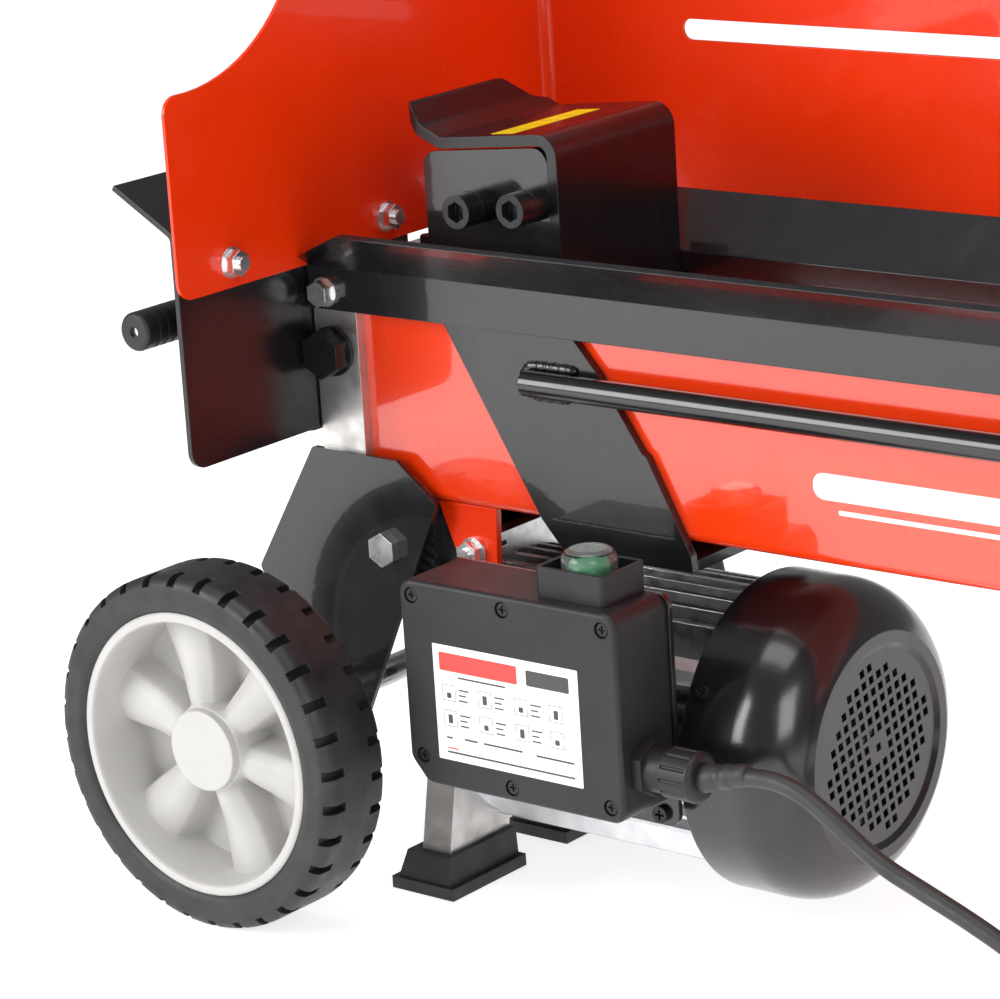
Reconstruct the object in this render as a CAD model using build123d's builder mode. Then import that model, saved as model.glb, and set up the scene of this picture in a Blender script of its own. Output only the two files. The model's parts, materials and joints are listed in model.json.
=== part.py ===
"""Horizontal electric hydraulic log splitter, modelled as separate named pieces.

+X runs along the beam from the motor end to the wedge, +Z is up, and the machine is
symmetric about Y = 0 apart from its controls, which face -Y. While the pieces are drawn,
X = 0 is the wheel axle; `save` moves each finished piece so that the origin ends up on
the floor under the middle of the machine. All sizes are millimetres.
"""
from build123d import *
import math
import os

os.makedirs("parts", exist_ok=True)

# ---------------------------------------------------------------- driving dimensions
wheel_r = 100.0
wheel_width = 48.0
track = 363.0            # over the front faces of the two rims
axle_z = wheel_r
middle_x = 390.0         # middle of the machine's length, measured from the axle

beam_half_w = 46.0
beam_low_z = 217.0
beam_top_z = 332.0
beam_wall = 3.0
beam_start_x = 26.0
beam_end_x = 756.0

block_half_w = 52.0      # steel blocks that close the beam and carry the rails
block_left_x = -6.0
block_top_z = 340.0
block_low_z = 150.0
block_foot_x = 50.0
end_block_len = 28.0

sheet = 3.0              # rails and wheel brackets
rail_low_z = 321.0
rail_bend_z = 345.0
rail_lip_half_w = 88.0
rail_lip_z = 370.6
rail_start_x = -4.0
rail_end_x = 784.0
rail_corner_x = 54.0     # where the slanted front corner of a flange ends

cheek_in = 46.4          # inner face of the carriage's side plates
cheek_out = 51.4
pusher_face_x = 171.5
pusher_t = 6.0

rod_z = 284.0
tube_r = 36.0
piston_r = 31.45
bore_r = 31.5
rod_r = 16.0
rod_thread_r = 12.0
bar_r = 7.0
bar_y = 58.4
bar_z = 295.6
crosshead_x = 794.0
crosshead_t = 18.0

motor_z = 105.0
fin_r = 77.5
shaft_r = 8.0
shield_x = 86.0
housing_x = 96.0
housing_end_x = 262.0
cover_r = 86.5
cover_x = 259.0
cover_end_x = 326.0

box_front_y = -136.5
box_back_y = -93.5
box_x0, box_x1 = 118.0, 260.0
box_z0, box_z1 = 93.5, 205.5
lid_t = 5.0

wedge_tip_x = 700.0
guard_x = -4.0           # face of the guard's end sheet
guard_y = 162.5          # inner face of the guard's long sheet
guard_low_z = 345.0
guard_top_z = 590.0
guard_t = 2.0
hand_guard_t = 3.0

run_gap = 0.05           # radial clearance of a turning or sliding fit
face_gap = 0.4           # clearance between bodies that slide past each other

cord_r = 4.75
gland_y, gland_z = -115.5, 119.5
gland_end_x = 296.0

SLOPE = math.radians(11.0)


def save(built, name):
    """Label a finished piece, move it to the machine's own origin and write it."""
    solid = built.part.moved(Location((-middle_x, 0, 0)))
    solid.label = name
    export_step(solid, f"parts/{name}.step")


def box(x0, x1, y0, y1, z0, z1, mode=Mode.ADD):
    """A box between two corners, added to the part that is being built."""
    with Locations(((x0 + x1) / 2, (y0 + y1) / 2, (z0 + z1) / 2)):
        Box(x1 - x0, y1 - y0, z1 - z0, mode=mode)


def rod_x(x0, x1, y, z, radius, mode=Mode.ADD):
    """A round bar along X."""
    with Locations(Location(((x0 + x1) / 2, y, z), (0, 90, 0))):
        Cylinder(radius, x1 - x0, mode=mode)


def rod_y(y0, y1, x, z, radius, mode=Mode.ADD):
    """A round bar along Y."""
    with Locations(Location((x, (y0 + y1) / 2, z), (90, 0, 0))):
        Cylinder(radius, abs(y1 - y0), mode=mode)


def rod_z_axis(z0, z1, x, y, radius, mode=Mode.ADD):
    """A round bar along Z."""
    with Locations((x, y, (z0 + z1) / 2)):
        Cylinder(radius, z1 - z0, mode=mode)


def disc(plane, radius, height, hole_r=0.0):
    """A round disc or washer that stands on a plane."""
    with BuildSketch(plane) as outline:
        Circle(radius)
        if hole_r:
            Circle(hole_r, mode=Mode.SUBTRACT)
    extrude(outline.sketch, amount=height)


def hexagon(plane, across_flats, height, hole_r=0.0):
    """A hexagonal prism that stands on a plane."""
    with BuildSketch(plane) as outline:
        RegularPolygon(across_flats / 2, 6, major_radius=False)
        if hole_r:
            Circle(hole_r, mode=Mode.SUBTRACT)
    extrude(outline.sketch, amount=height)


def face_plane(x, y, z, out):
    """A plane at a point, with its normal along the direction `out`."""
    return Plane(origin=(x, y, z), z_dir=out)


def bolt(x, y, z, out, size, across, head, shank, washer_r=0.0):
    """A hex bolt seated at a point, with its head towards `out`; its washer is its own solid."""
    base = face_plane(x, y, z, out)
    if washer_r:
        disc(base, washer_r, 2.5, size / 2 + 0.3)
        base = base.offset(2.6)
    hexagon(base, across, head)
    disc(base, size / 2, -shank)


def flange_bolt(x, y, z, out, size=8.0, shank=14.0):
    """A hex flange bolt: flange, hexagon and shank in one solid."""
    base = face_plane(x, y, z, out)
    disc(base, size * 1.06, 2.0)
    hexagon(base.offset(2.0), size * 1.6, size * 0.8)
    disc(base, size / 2, -shank)


def flange_nut(x, y, z, out, size=8.0, stud=16.0, behind=5.0):
    """A flange nut on the threaded end of its bolt: two separate solids."""
    base = face_plane(x, y, z, out)
    clear_r = size / 2 + 0.05
    disc(base, size * 1.06, 2.0, clear_r)
    hexagon(base.offset(2.0), size * 1.6, size * 0.75, clear_r)
    disc(base.offset(-behind), size / 2, stud)


# ---------------------------------------------------------------- beam and its end blocks
with BuildPart() as beam:
    with BuildSketch(Plane.YZ.offset(beam_start_x)):
        with Locations((0, (beam_low_z + beam_top_z) / 2)):
            RectangleRounded(2 * beam_half_w, beam_top_z - beam_low_z, 6)
            RectangleRounded(2 * (beam_half_w - beam_wall),
                             beam_top_z - beam_low_z - 2 * beam_wall, 2.5, mode=Mode.SUBTRACT)
    extrude(amount=beam_end_x - beam_start_x)
save(beam, "beam")

hanger_x0, hanger_x1 = 68.0, 109.0
hanger_low_z = 181.0
hanger_y = 38.4
hanger_t = 4.0
stud_x, stud_z = 92.0, 190.5
with BuildPart() as motor_hangers:
    for side in (-1, 1):
        with BuildSketch(Plane.XZ.offset(-side * hanger_y)):
            with BuildLine():
                Polyline((hanger_x0, beam_low_z), (hanger_x1, beam_low_z),
                         (hanger_x1 - 2, hanger_low_z), (hanger_x0 + 14, hanger_low_z), close=True)
            make_face()
            with Locations((stud_x, stud_z)):
                Circle(4.3, mode=Mode.SUBTRACT)
        extrude(amount=-side * hanger_t)
save(motor_hangers, "motor_hangers")

rail_bolt_x, rail_bolt_z = 8.0, 331.0
block_bolt_x, block_bolt_z = 8.2, 297.0
bracket_bolt_x, bracket_bolt_z = 40.0, 189.0
valve_bolts = [(-8.0, 262.0), (-18.0, 302.0)]
with BuildPart() as valve_block:
    box(block_left_x, beam_start_x, -block_half_w, block_half_w, block_low_z, block_top_z)
    box(beam_start_x, block_foot_x, -block_half_w, block_half_w, block_low_z, beam_low_z - 3)
    chamfer(valve_block.edges().filter_by(Axis.Z).group_by(Axis.X)[0], 1.2)
    for side in (-1, 1):
        edge = side * block_half_w
        rod_y(edge - side * 16, edge, rail_bolt_x, rail_bolt_z, 4.1, Mode.SUBTRACT)
        rod_y(edge - side * 26, edge, block_bolt_x, block_bolt_z, 8.1, Mode.SUBTRACT)
        rod_y(edge - side * 18, edge, bracket_bolt_x, bracket_bolt_z, 5.1, Mode.SUBTRACT)
    for y, z in valve_bolts:
        rod_x(block_left_x, block_left_x + 14, y, z, 4.1, Mode.SUBTRACT)
    rod_z_axis(block_top_z - 10, block_top_z, 12, 30, 3.1, Mode.SUBTRACT)
save(valve_block, "valve_block")

end_x1 = beam_end_x + end_block_len
end_bolt_x, end_bolt_z = end_x1 - 14, block_bolt_z - 48
oil_plug_z = 236.0
with BuildPart() as rod_end_block:
    box(beam_end_x, end_x1, -block_half_w, block_half_w, beam_low_z - 3, block_top_z)
    chamfer(rod_end_block.edges().filter_by(Axis.Z), 1.2)
    rod_x(beam_end_x, end_x1, 0, rod_z, rod_r + 0.2, Mode.SUBTRACT)
    rod_x(end_x1 - 14, end_x1, 0, oil_plug_z, 7.1, Mode.SUBTRACT)
    for side in (-1, 1):
        edge = side * block_half_w
        for z, radius in ((rail_bolt_z, 4.1), (end_bolt_z, 8.1)):
            rod_y(edge - side * 20, edge, end_bolt_x, z, radius, Mode.SUBTRACT)
        rod_x(beam_end_x, end_x1, side * bar_y, bar_z, bar_r + face_gap, Mode.SUBTRACT)
save(rod_end_block, "rod_end_block")

# ---------------------------------------------------------------- hydraulic cylinder
gland_len = 30.0
with BuildPart() as cylinder_tube:
    rod_x(beam_start_x, beam_end_x, 0, rod_z, tube_r)
    rod_x(beam_start_x, beam_end_x, 0, rod_z, bore_r, Mode.SUBTRACT)
    rod_y(-tube_r - 1, -bore_r + 1, beam_start_x + 10, rod_z, 4, Mode.SUBTRACT)
save(cylinder_tube, "cylinder_tube")

with BuildPart() as rod_gland:
    rod_x(beam_end_x - gland_len, beam_end_x, 0, rod_z, bore_r)
    rod_x(beam_end_x - gland_len, beam_end_x, 0, rod_z, rod_r + run_gap, Mode.SUBTRACT)
save(rod_gland, "rod_gland")

piston_x, piston_len = 44.0, 32.0
with BuildPart() as piston:
    rod_x(piston_x, piston_x + piston_len, 0, rod_z, piston_r)
    for x in (piston_x + 8, piston_x + 20):
        with BuildSketch(Plane.YZ.offset(x)):
            with Locations((0, rod_z)):
                Circle(piston_r)
                Circle(piston_r - 2.5, mode=Mode.SUBTRACT)
        extrude(amount=4, mode=Mode.SUBTRACT)
    rod_x(piston_x, piston_x + piston_len, 0, rod_z, rod_thread_r, Mode.SUBTRACT)
save(piston, "piston")

rod_end_x = crosshead_x + crosshead_t + 18
with BuildPart() as piston_rod:
    rod_x(piston_x - 4, piston_x + piston_len, 0, rod_z, rod_thread_r)
    rod_x(piston_x + piston_len, crosshead_x, 0, rod_z, rod_r)
    rod_x(crosshead_x, rod_end_x, 0, rod_z, rod_thread_r)
    chamfer(piston_rod.edges().filter_by(GeomType.CIRCLE).sort_by(Axis.X)[-1], 1.5)
save(piston_rod, "piston_rod")

# ---------------------------------------------------------------- crosshead and pull bars
bar_end_x = crosshead_x + crosshead_t + 14
with BuildPart() as crosshead:
    with BuildSketch(Plane.YZ.offset(crosshead_x)):
        with BuildLine():
            Polyline((-74, bar_z + 20), (74, bar_z + 20), (74, bar_z - 16), (30, 254), (-30, 254),
                     (-74, bar_z - 16), close=True)
        make_face()
    extrude(amount=crosshead_t)
    fillet(crosshead.edges().filter_by(Axis.X), 5)
    rod_x(crosshead_x, crosshead_x + crosshead_t, 0, rod_z, rod_thread_r, Mode.SUBTRACT)
    for side in (-1, 1):
        rod_x(crosshead_x, crosshead_x + crosshead_t, side * bar_y, bar_z, bar_r, Mode.SUBTRACT)
    hexagon(face_plane(crosshead_x + crosshead_t, 0, rod_z, (1, 0, 0)), 36, 14, rod_thread_r)
save(crosshead, "crosshead")

bar_start_x = 146.0
with BuildPart() as pull_bars:
    for side in (-1, 1):
        rod_x(bar_start_x, bar_end_x, side * bar_y, bar_z, bar_r)
        hexagon(face_plane(crosshead_x + crosshead_t, side * bar_y, bar_z, (1, 0, 0)), 21, 9)
    chamfer(pull_bars.edges().filter_by(GeomType.CIRCLE).group_by(Axis.X)[0], 2)
save(pull_bars, "pull_bars")

# ---------------------------------------------------------------- carriage and pusher
yoke_floor_z = 203.0
yoke_floor_t = 6.0
cheek_top_slope = math.tan(math.radians(5.2))
cheek_x0, cheek_x1 = 81.5, pusher_face_x - pusher_t
cheek_outline = [
    (cheek_x0, 334), (cheek_x0, 413.4), (cheek_x1, 413.4 + (cheek_x1 - cheek_x0) * cheek_top_slope),
    (cheek_x1, 334), (176, 320), (191, 303), (217, 264), (220, 262), (246, 212), (247, yoke_floor_z),
    (162, yoke_floor_z), (148, 219), (88, 320), (84, 328),
]
bolt_heads = [(121.0, 388.0), (157.5, 391.5)]
with BuildPart() as yoke:
    for side in (-1, 1):
        with BuildSketch(Plane.XZ.offset(-side * cheek_in)):
            with BuildLine():
                Polyline(*cheek_outline, close=True)
            make_face()
            with Locations(*bolt_heads):
                Circle(6.2, mode=Mode.SUBTRACT)
        extrude(amount=-side * (cheek_out - cheek_in))
    box(162, 247, -cheek_in, cheek_in, yoke_floor_z, yoke_floor_z + yoke_floor_t)
    fillet(yoke.edges().filter_by(Axis.Y).filter_by(
        lambda e: e.center().Z > 405 and e.center().X < cheek_x1 + 1), 9)
    box(cheek_x0 + 4, cheek_x1, -cheek_in, cheek_in, beam_top_z + face_gap, 372)
save(yoke, "yoke")

lip_x = 68.8
with BuildPart() as pusher_plate:
    with BuildSketch(Plane.XZ.offset(cheek_out)):
        with BuildLine():
            FilletPolyline(
                (pusher_face_x - 3, 337), (pusher_face_x - 3, 425.4), (93, 418.5),
                (79.5, 424.5), (71.5, 436), radius=9)
            offset(amount=pusher_t / 2, kind=Kind.ARC)
        make_face()
    extrude(amount=-2 * cheek_out)
    with BuildSketch(Plane.XY.offset(330)) as seen_from_above:
        with BuildLine():
            Polyline((lip_x, -cheek_out), (pusher_face_x + 1, -cheek_out),
                     (pusher_face_x + 1, cheek_out), (86, cheek_out), (79, 39), (lip_x, 20),
                     close=True)
        make_face()
        fillet(seen_from_above.vertices().group_by(Axis.X)[0].sort_by(Axis.Y)[0], 9)
        fillet(seen_from_above.vertices().group_by(Axis.X)[0].sort_by(Axis.Y)[-1], 6)
    extrude(seen_from_above.sketch, amount=130, mode=Mode.INTERSECT)
save(pusher_plate, "pusher_plate")

spacer_len = 11.0
head_len = 12.0
nut_t = 5.5
with BuildPart() as cheek_bolts:
    for x, z in bolt_heads:
        front = face_plane(x, -cheek_out, z, (0, -1, 0))
        disc(front, 9.2, spacer_len, 6.1)
        head = front.offset(spacer_len + 0.1)
        disc(head, 9.0, head_len)
        disc(head, 6.0, -(spacer_len + 2 * cheek_out + nut_t))
        with BuildSketch(head.offset(head_len)) as socket:
            RegularPolygon(5, 6, major_radius=False)
        extrude(socket.sketch, amount=-6, mode=Mode.SUBTRACT)
        hexagon(face_plane(x, cheek_out, z, (0, 1, 0)), 18, nut_t, 6.1)
save(cheek_bolts, "cheek_bolts")

# ---------------------------------------------------------------- trough rails
web_y = block_half_w + sheet


def rail_outline(side):
    """The rail's section: an upright web that bends outwards into a sloping flange."""
    bend_in = rail_bend_z + 1.2
    return [(side * block_half_w, rail_low_z), (side * web_y, rail_low_z),
            (side * web_y, rail_bend_z), (side * rail_lip_half_w, rail_lip_z),
            (side * (rail_lip_half_w - 1.9), rail_lip_z + 2.3), (side * block_half_w, bend_in)]


with BuildPart() as rails:
    for side in (-1, 1):
        with BuildSketch(Plane.YZ.offset(rail_start_x)):
            with BuildLine():
                Polyline(*rail_outline(side), close=True)
            make_face()
        extrude(amount=rail_end_x - rail_start_x)
    for x0, x1 in ((rail_start_x - 1, rail_corner_x), (rail_end_x + 1, rail_end_x - 58)):
        with BuildSketch(Plane.XZ.offset(-120)):
            with BuildLine():
                Polyline((x0, rail_bend_z + 6), (x1, rail_lip_z + 3.5), (x0, rail_lip_z + 3.5),
                         close=True)
            make_face()
        extrude(amount=240, mode=Mode.SUBTRACT)
    for x in (rail_bolt_x, end_x1 - 14):
        rod_y(-60, 60, x, rail_bolt_z, 4.2, Mode.SUBTRACT)
save(rails, "rails")

with BuildPart() as wheel_brackets:
    for side in (-1, 1):
        with BuildSketch(Plane.XZ.offset(-side * block_half_w)):
            with BuildLine():
                Polyline((-11, 241), (50, 240), (77, 218), (17, 90), (6, 80), (-14, 80),
                         (-24, 92), (-58, 165), close=True)
            plate = make_face()
            fillet(plate.vertices(), 3)
            with Locations((0, axle_z)):
                Circle(8.1, mode=Mode.SUBTRACT)
            with Locations((bracket_bolt_x, bracket_bolt_z)):
                Circle(5.2, mode=Mode.SUBTRACT)
        extrude(amount=-side * sheet)
save(wheel_brackets, "wheel_brackets")

# ---------------------------------------------------------------- wedge and right-hand support
wedge_back_x = 752.0
with BuildPart() as wedge:
    box(wedge_tip_x - 4, beam_end_x, -40, 40, beam_top_z, beam_top_z + 8)
    with BuildSketch(Plane.XY.offset(beam_top_z + 8)):
        with BuildLine():
            Polyline((wedge_tip_x, -1), (wedge_tip_x + 16, -5), (wedge_back_x - 4, -32),
                     (wedge_back_x + 10, -32), (wedge_back_x + 10, 32), (wedge_back_x - 4, 32),
                     (wedge_tip_x + 16, 5), (wedge_tip_x, 1), close=True)
        make_face()
    extrude(amount=168)
    chamfer(wedge.faces().sort_by(Axis.Z)[-1].edges().sort_by(Axis.X)[0], 0.8)
save(wedge, "wedge")

leg_x = 716.0


def support_leg_outline(side):
    """One splayed leg of the right-hand support, seen along the beam."""
    return [(side * 58, beam_low_z - 5.5), (side * 28, beam_low_z - 5.5),
            (side * 92, 8), (side * 122, 8)]


with BuildPart() as support_frame:
    box(leg_x - 20, leg_x + 20, -58, 58, beam_low_z - 5.5, beam_low_z)
    for side in (-1, 1):
        with BuildSketch(Plane.YZ.offset(leg_x - 15)):
            with BuildLine():
                Polyline(*support_leg_outline(side), close=True)
            make_face()
        extrude(amount=30)
    box(leg_x - 5, leg_x + 5, -74, 74, 92, 122)
save(support_frame, "support_frame")


def shoe(x0, x1, y0, y1, collar, top_z):
    """A rubber shoe: a flat sole under a collar that narrows towards the leg."""
    box(x0, x1, y0, y1, 0, 7)
    left, right, front, back, slope = collar
    with BuildSketch(Plane.XY.offset(7)) as low:
        with Locations(((left + right) / 2, (front + back) / 2)):
            Rectangle(right - left, back - front)
    with BuildSketch(Plane.XY.offset(top_z)) as high:
        with Locations(((left + right) / 2 + 2, (front + back) / 2 + slope)):
            Rectangle(right - left - 7, back - front - 2)
    loft([low.sketch, high.sketch])


handle_r = 11.0
handle_y = 66.0
handle_end_x = 869.0
with BuildPart() as transport_handle:
    with BuildLine() as handle_line:
        FilletPolyline(
            (end_x1 + 2, -handle_y, 357), (808, -handle_y, 362), (handle_end_x, -handle_y, 386),
            (handle_end_x, handle_y, 386), (808, handle_y, 362), (end_x1 + 2, handle_y, 357),
            radius=22)
    start = handle_line.line @ 0
    with BuildSketch(Plane(origin=start, z_dir=handle_line.line % 0)):
        Circle(handle_r)
    sweep(path=handle_line.line)
    for side in (-1, 1):
        box(end_x1, end_x1 + 5, *sorted((side * 40, side * (handle_y + 14))), bar_z + 23, 372)
save(transport_handle, "transport_handle")

# ---------------------------------------------------------------- motor end support
leg_slope = math.tan(SLOPE)


def splayed_leg(side, y_foot, depth, x0, x1, z0, z1):
    """A straight leg whose foot stands further out than its top."""
    with BuildSketch(Plane.YZ.offset(x0)) as outline:
        with BuildLine():
            Polyline((side * (y_foot - z0 * leg_slope), z0),
                     (side * (y_foot - z1 * leg_slope), z1),
                     (side * (y_foot - depth - z1 * leg_slope), z1),
                     (side * (y_foot - depth - z0 * leg_slope), z0), close=True)
        make_face()
    return extrude(outline.sketch, amount=x1 - x0, mode=Mode.PRIVATE)


leg_x0, leg_x1 = 66.0, 86.0
leg_foot_y, leg_depth = 77.4, 51.7
leg_top_z = 81.0
with BuildPart() as motor_legs:
    for side in (-1, 1):
        add(splayed_leg(side, leg_foot_y, leg_depth, leg_x0, leg_x1, 7, leg_top_z))
        add(splayed_leg(side, leg_foot_y - 2, leg_depth - 4, leg_x0 + 2, leg_x1 - 2, 9,
                        leg_top_z - 2), mode=Mode.SUBTRACT)
    box(leg_x0, leg_x1, -50, 50, leg_top_z - 2, leg_top_z + 0.5)
save(motor_legs, "motor_legs")

with BuildPart() as rubber_feet:
    for side in (-1, 1):
        y0, y1 = sorted((side * 18.5, side * 83))
        shoe(50.5, 94.5, y0, y1, (54, 91, y0 + 2, y1 - 2, -side * 1.5), 23)
        add(splayed_leg(side, leg_foot_y, leg_depth, leg_x0, leg_x1, 7, 40), mode=Mode.SUBTRACT)
        y0, y1 = sorted((side * 86, side * 130))
        shoe(leg_x - 21, leg_x + 21, y0, y1, (leg_x - 18, leg_x + 18, y0 + 3, y1 - 3, -side * 2), 22)
        with BuildSketch(Plane.YZ.offset(leg_x - 15)) as leg:
            with BuildLine():
                Polyline(*support_leg_outline(side), close=True)
            make_face()
        extrude(leg.sketch, amount=30, mode=Mode.SUBTRACT)
save(rubber_feet, "rubber_feet")

# ---------------------------------------------------------------- axle and wheels
axle_r = 8.0
sleeve_r = 12.5
rim_r, lip_r, hub_r = 80.0, 74.0, 23.0
spoke_count = 6
spoke_depth = 20.0        # how far the spokes lie behind the rim's edge
cap_depth = 8.0
spoke_outline = [(15, -10), (46, -15.5), (75, -21.5), (75, 21.5), (46, 15.5), (15, 10)]
axle_end_y = track / 2 - cap_depth - 5
with BuildPart() as axle:
    rod_y(-axle_end_y, axle_end_y, 0, axle_z, axle_r - run_gap)
    for side in (-1, 1):
        rod_y(side * (web_y + 1), side * (track / 2 - wheel_width - 0.6), 0, axle_z, sleeve_r)
save(axle, "axle")



def wheel_plane(side, depth):
    """A plane across the wheel, `depth` behind the rim's outer edge, facing outwards."""
    return Plane(origin=(0, side * (track / 2 - depth), axle_z), x_dir=(1, 0, 0),
                 z_dir=(0, side, 0))


def build_rim(side):
    """A moulded rim: barrel, web at mid width, six tapered spokes and a hub with its cap."""
    with BuildPart() as rim:
        back = wheel_plane(side, wheel_width - 2)
        disc(back, rim_r, wheel_width - 2, lip_r)
        disc(back, 17, wheel_width - 2 - cap_depth - 4, axle_r)
        disc(back.offset(4), lip_r + 1, 4, axle_r)
        with BuildSketch(wheel_plane(side, wheel_width - 8)) as arms:
            for i in range(spoke_count):
                turn = 45 + i * 360 / spoke_count
                with Locations(Location((0, 0, 0), (0, 0, -side * turn))):
                    Polygon(*spoke_outline, align=None)
            Circle(axle_r, mode=Mode.SUBTRACT)
        extrude(arms.sketch, amount=wheel_width - 8 - spoke_depth)
        disc(wheel_plane(side, cap_depth + 4), hub_r, -12, axle_r)
        disc(wheel_plane(side, cap_depth + 4), hub_r, 4, hub_r - 2)
        disc(wheel_plane(side, cap_depth + 3.6), hub_r - 2.3, 3.6)
    return rim


tyre_half_w = wheel_width / 2
slot_count = 32


def build_tyre(side):
    """A solid tyre with two staggered rows of U-shaped slots across its shoulders."""
    middle = side * (track / 2 + 1 - tyre_half_w)
    with BuildPart() as tyre:
        with BuildSketch(Plane.XY) as section:
            with Locations((89, middle)):
                RectangleRounded(2 * (wheel_r - 89), 2 * tyre_half_w, 7.5)
            with Locations((rim_r - 2, middle)):
                Rectangle(6, 2 * tyre_half_w - 8)
        revolve(section.sketch, axis=Axis.Y)
        rod_y(middle - tyre_half_w - 1, middle + tyre_half_w + 1, 0, 0, rim_r, Mode.SUBTRACT)
        for row in (-1, 1):
            for i in range(slot_count):
                turn = (i + 0.25 * row) * 360 / slot_count
                place = Location((0, middle, 0), (0, turn, 0))
                with Locations(place * Location((wheel_r - 1, row * 18, 0))):
                    Box(8, 15, 5.2, mode=Mode.SUBTRACT)
    return tyre


wheel_names = {-1: "front", 1: "back"}
for side, where in wheel_names.items():
    save(build_rim(side), f"rim_{where}")
    tyre = build_tyre(side)
    tyre.part.position = (0, 0, axle_z)
    save(tyre, f"tyre_{where}")

# ---------------------------------------------------------------- gear pump
pump_x0, pump_x1 = 50.0, 86.0
pump_low_z, pump_top_z = 82.0, 213.0
pump_half_w = 45.0
gear_x0, gear_x1 = 56.0, 70.0
gear_module, gear_teeth = 2.0, 12
gear_spacing = gear_module * gear_teeth
pitch_r = gear_spacing / 2
tip_r = pitch_r + 0.9 * gear_module
cavity_r = tip_r + 0.15
driven_z = motor_z + gear_spacing
gear_shaft_r = 7.0
with BuildPart() as pump_body:
    box(pump_x0, pump_x1, -pump_half_w, pump_half_w, pump_low_z, pump_top_z)
    fillet(pump_body.edges().filter_by(Axis.X), 10)
    box(pump_x0 + 4, pump_x1, -pump_half_w + 8, pump_half_w - 8, 152, pump_top_z, Mode.SUBTRACT)
    for i in range(9):
        z = 152 + i * 6.6
        with BuildSketch(Plane.XZ.offset(pump_half_w + 2)) as rib:
            with BuildLine():
                Polyline((pump_x0 + 3, z), (pump_x1, z - 12), (pump_x1, z - 9), (pump_x0 + 3, z + 3),
                         close=True)
            make_face()
        extrude(rib.sketch, amount=-10)
        extrude(rib.sketch.moved(Location((0, 2 * pump_half_w - 6, 0))), amount=-10)
    for side in (-1, 1):
        across = sorted((side * (hanger_y - 0.4), side * 60))
        box(hanger_x0 - 2, pump_x1 + 1, *across, hanger_low_z - 3, pump_top_z + 1, Mode.SUBTRACT)
    for z in (motor_z, driven_z):
        rod_x(gear_x0, gear_x1 + 0.3, 0, z, cavity_r, Mode.SUBTRACT)
        rod_x(pump_x0 + 2, gear_x0, 0, z, gear_shaft_r + run_gap, Mode.SUBTRACT)
    rod_x(gear_x1, pump_x1, 0, motor_z, shaft_r + 1.0, Mode.SUBTRACT)
    rod_x(gear_x1, gear_x1 + 8, 0, driven_z, gear_shaft_r + run_gap, Mode.SUBTRACT)
save(pump_body, "pump_body")


def build_gear(z, first_turn, x_end, bore=0.0):
    """A spur gear with straight-flanked teeth on its own stub shaft."""
    with BuildPart() as gear:
        root_r = pitch_r - 1.15 * gear_module
        rod_x(gear_x0 + 0.1, gear_x1 + 0.1, 0, z, root_r)
        with BuildSketch(Plane(origin=(gear_x0 + 0.1, 0, z), x_dir=(0, 1, 0),
                               z_dir=(1, 0, 0))) as teeth:
            for i in range(gear_teeth):
                turn = first_turn + i * 360 / gear_teeth
                with Locations(Location((0, 0, 0), (0, 0, turn))):
                    Polygon((root_r - 1, -2.0), (pitch_r, -1.3), (tip_r, -0.6), (tip_r, 0.6),
                            (pitch_r, 1.3), (root_r - 1, 2.0), align=None)
        extrude(teeth.sketch, amount=gear_x1 - gear_x0)
        rod_x(pump_x0 + 2.2, gear_x0 + 0.1, 0, z, gear_shaft_r)
        if x_end > gear_x1:
            rod_x(gear_x1, x_end, 0, z, gear_shaft_r)
        if bore:
            rod_x(gear_x0 + 2, gear_x1 + 1, 0, z, bore, Mode.SUBTRACT)
    return gear


save(build_gear(motor_z, 0, gear_x1, shaft_r + 0.02), "drive_gear")
save(build_gear(driven_z, 90 + 180 / gear_teeth, gear_x1 + 7.8), "driven_gear")

# ---------------------------------------------------------------- electric motor
shield_r = 76.0
bore_r_in = 58.0
housing_r = 62.0
fin_pitch, fin_t = 10.0, 2.4
fin_flat = 44.0           # half width of the group of upright fins
pad_x0, pad_x1, pad_z0, pad_z1 = 150.0, 230.0, 90.0, 120.0    # seat of the control box
stator_x0, stator_x1 = 120.0, 220.0
bearing_r, bearing_len = 20.0, 14.0
front_bearing_x, rear_bearing_x = 90.0, 248.0
with BuildPart() as motor_shield:
    rod_x(shield_x, housing_x, 0, motor_z, shield_r)
    box(84, 98, -38, 38, motor_z, 197)
    fillet(motor_shield.edges().filter_by(Axis.X).filter_by(lambda e: e.center().Z > 190), 8)
    rod_x(housing_x, 106, 0, motor_z, bearing_r + 6)
    box(84, shield_x, -60, 60, 40, 212, Mode.SUBTRACT)
    rod_x(front_bearing_x, 106, 0, motor_z, bearing_r, Mode.SUBTRACT)
    rod_x(shield_x, front_bearing_x, 0, motor_z, shaft_r + 1.0, Mode.SUBTRACT)
    box(housing_x, 106, -39, 39, motor_z + 30, 198, Mode.SUBTRACT)
    for side in (-1, 1):
        rod_y(side * 20, side * 39, 92, 190.5, 4.1, Mode.SUBTRACT)
save(motor_shield, "motor_shield")

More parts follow.
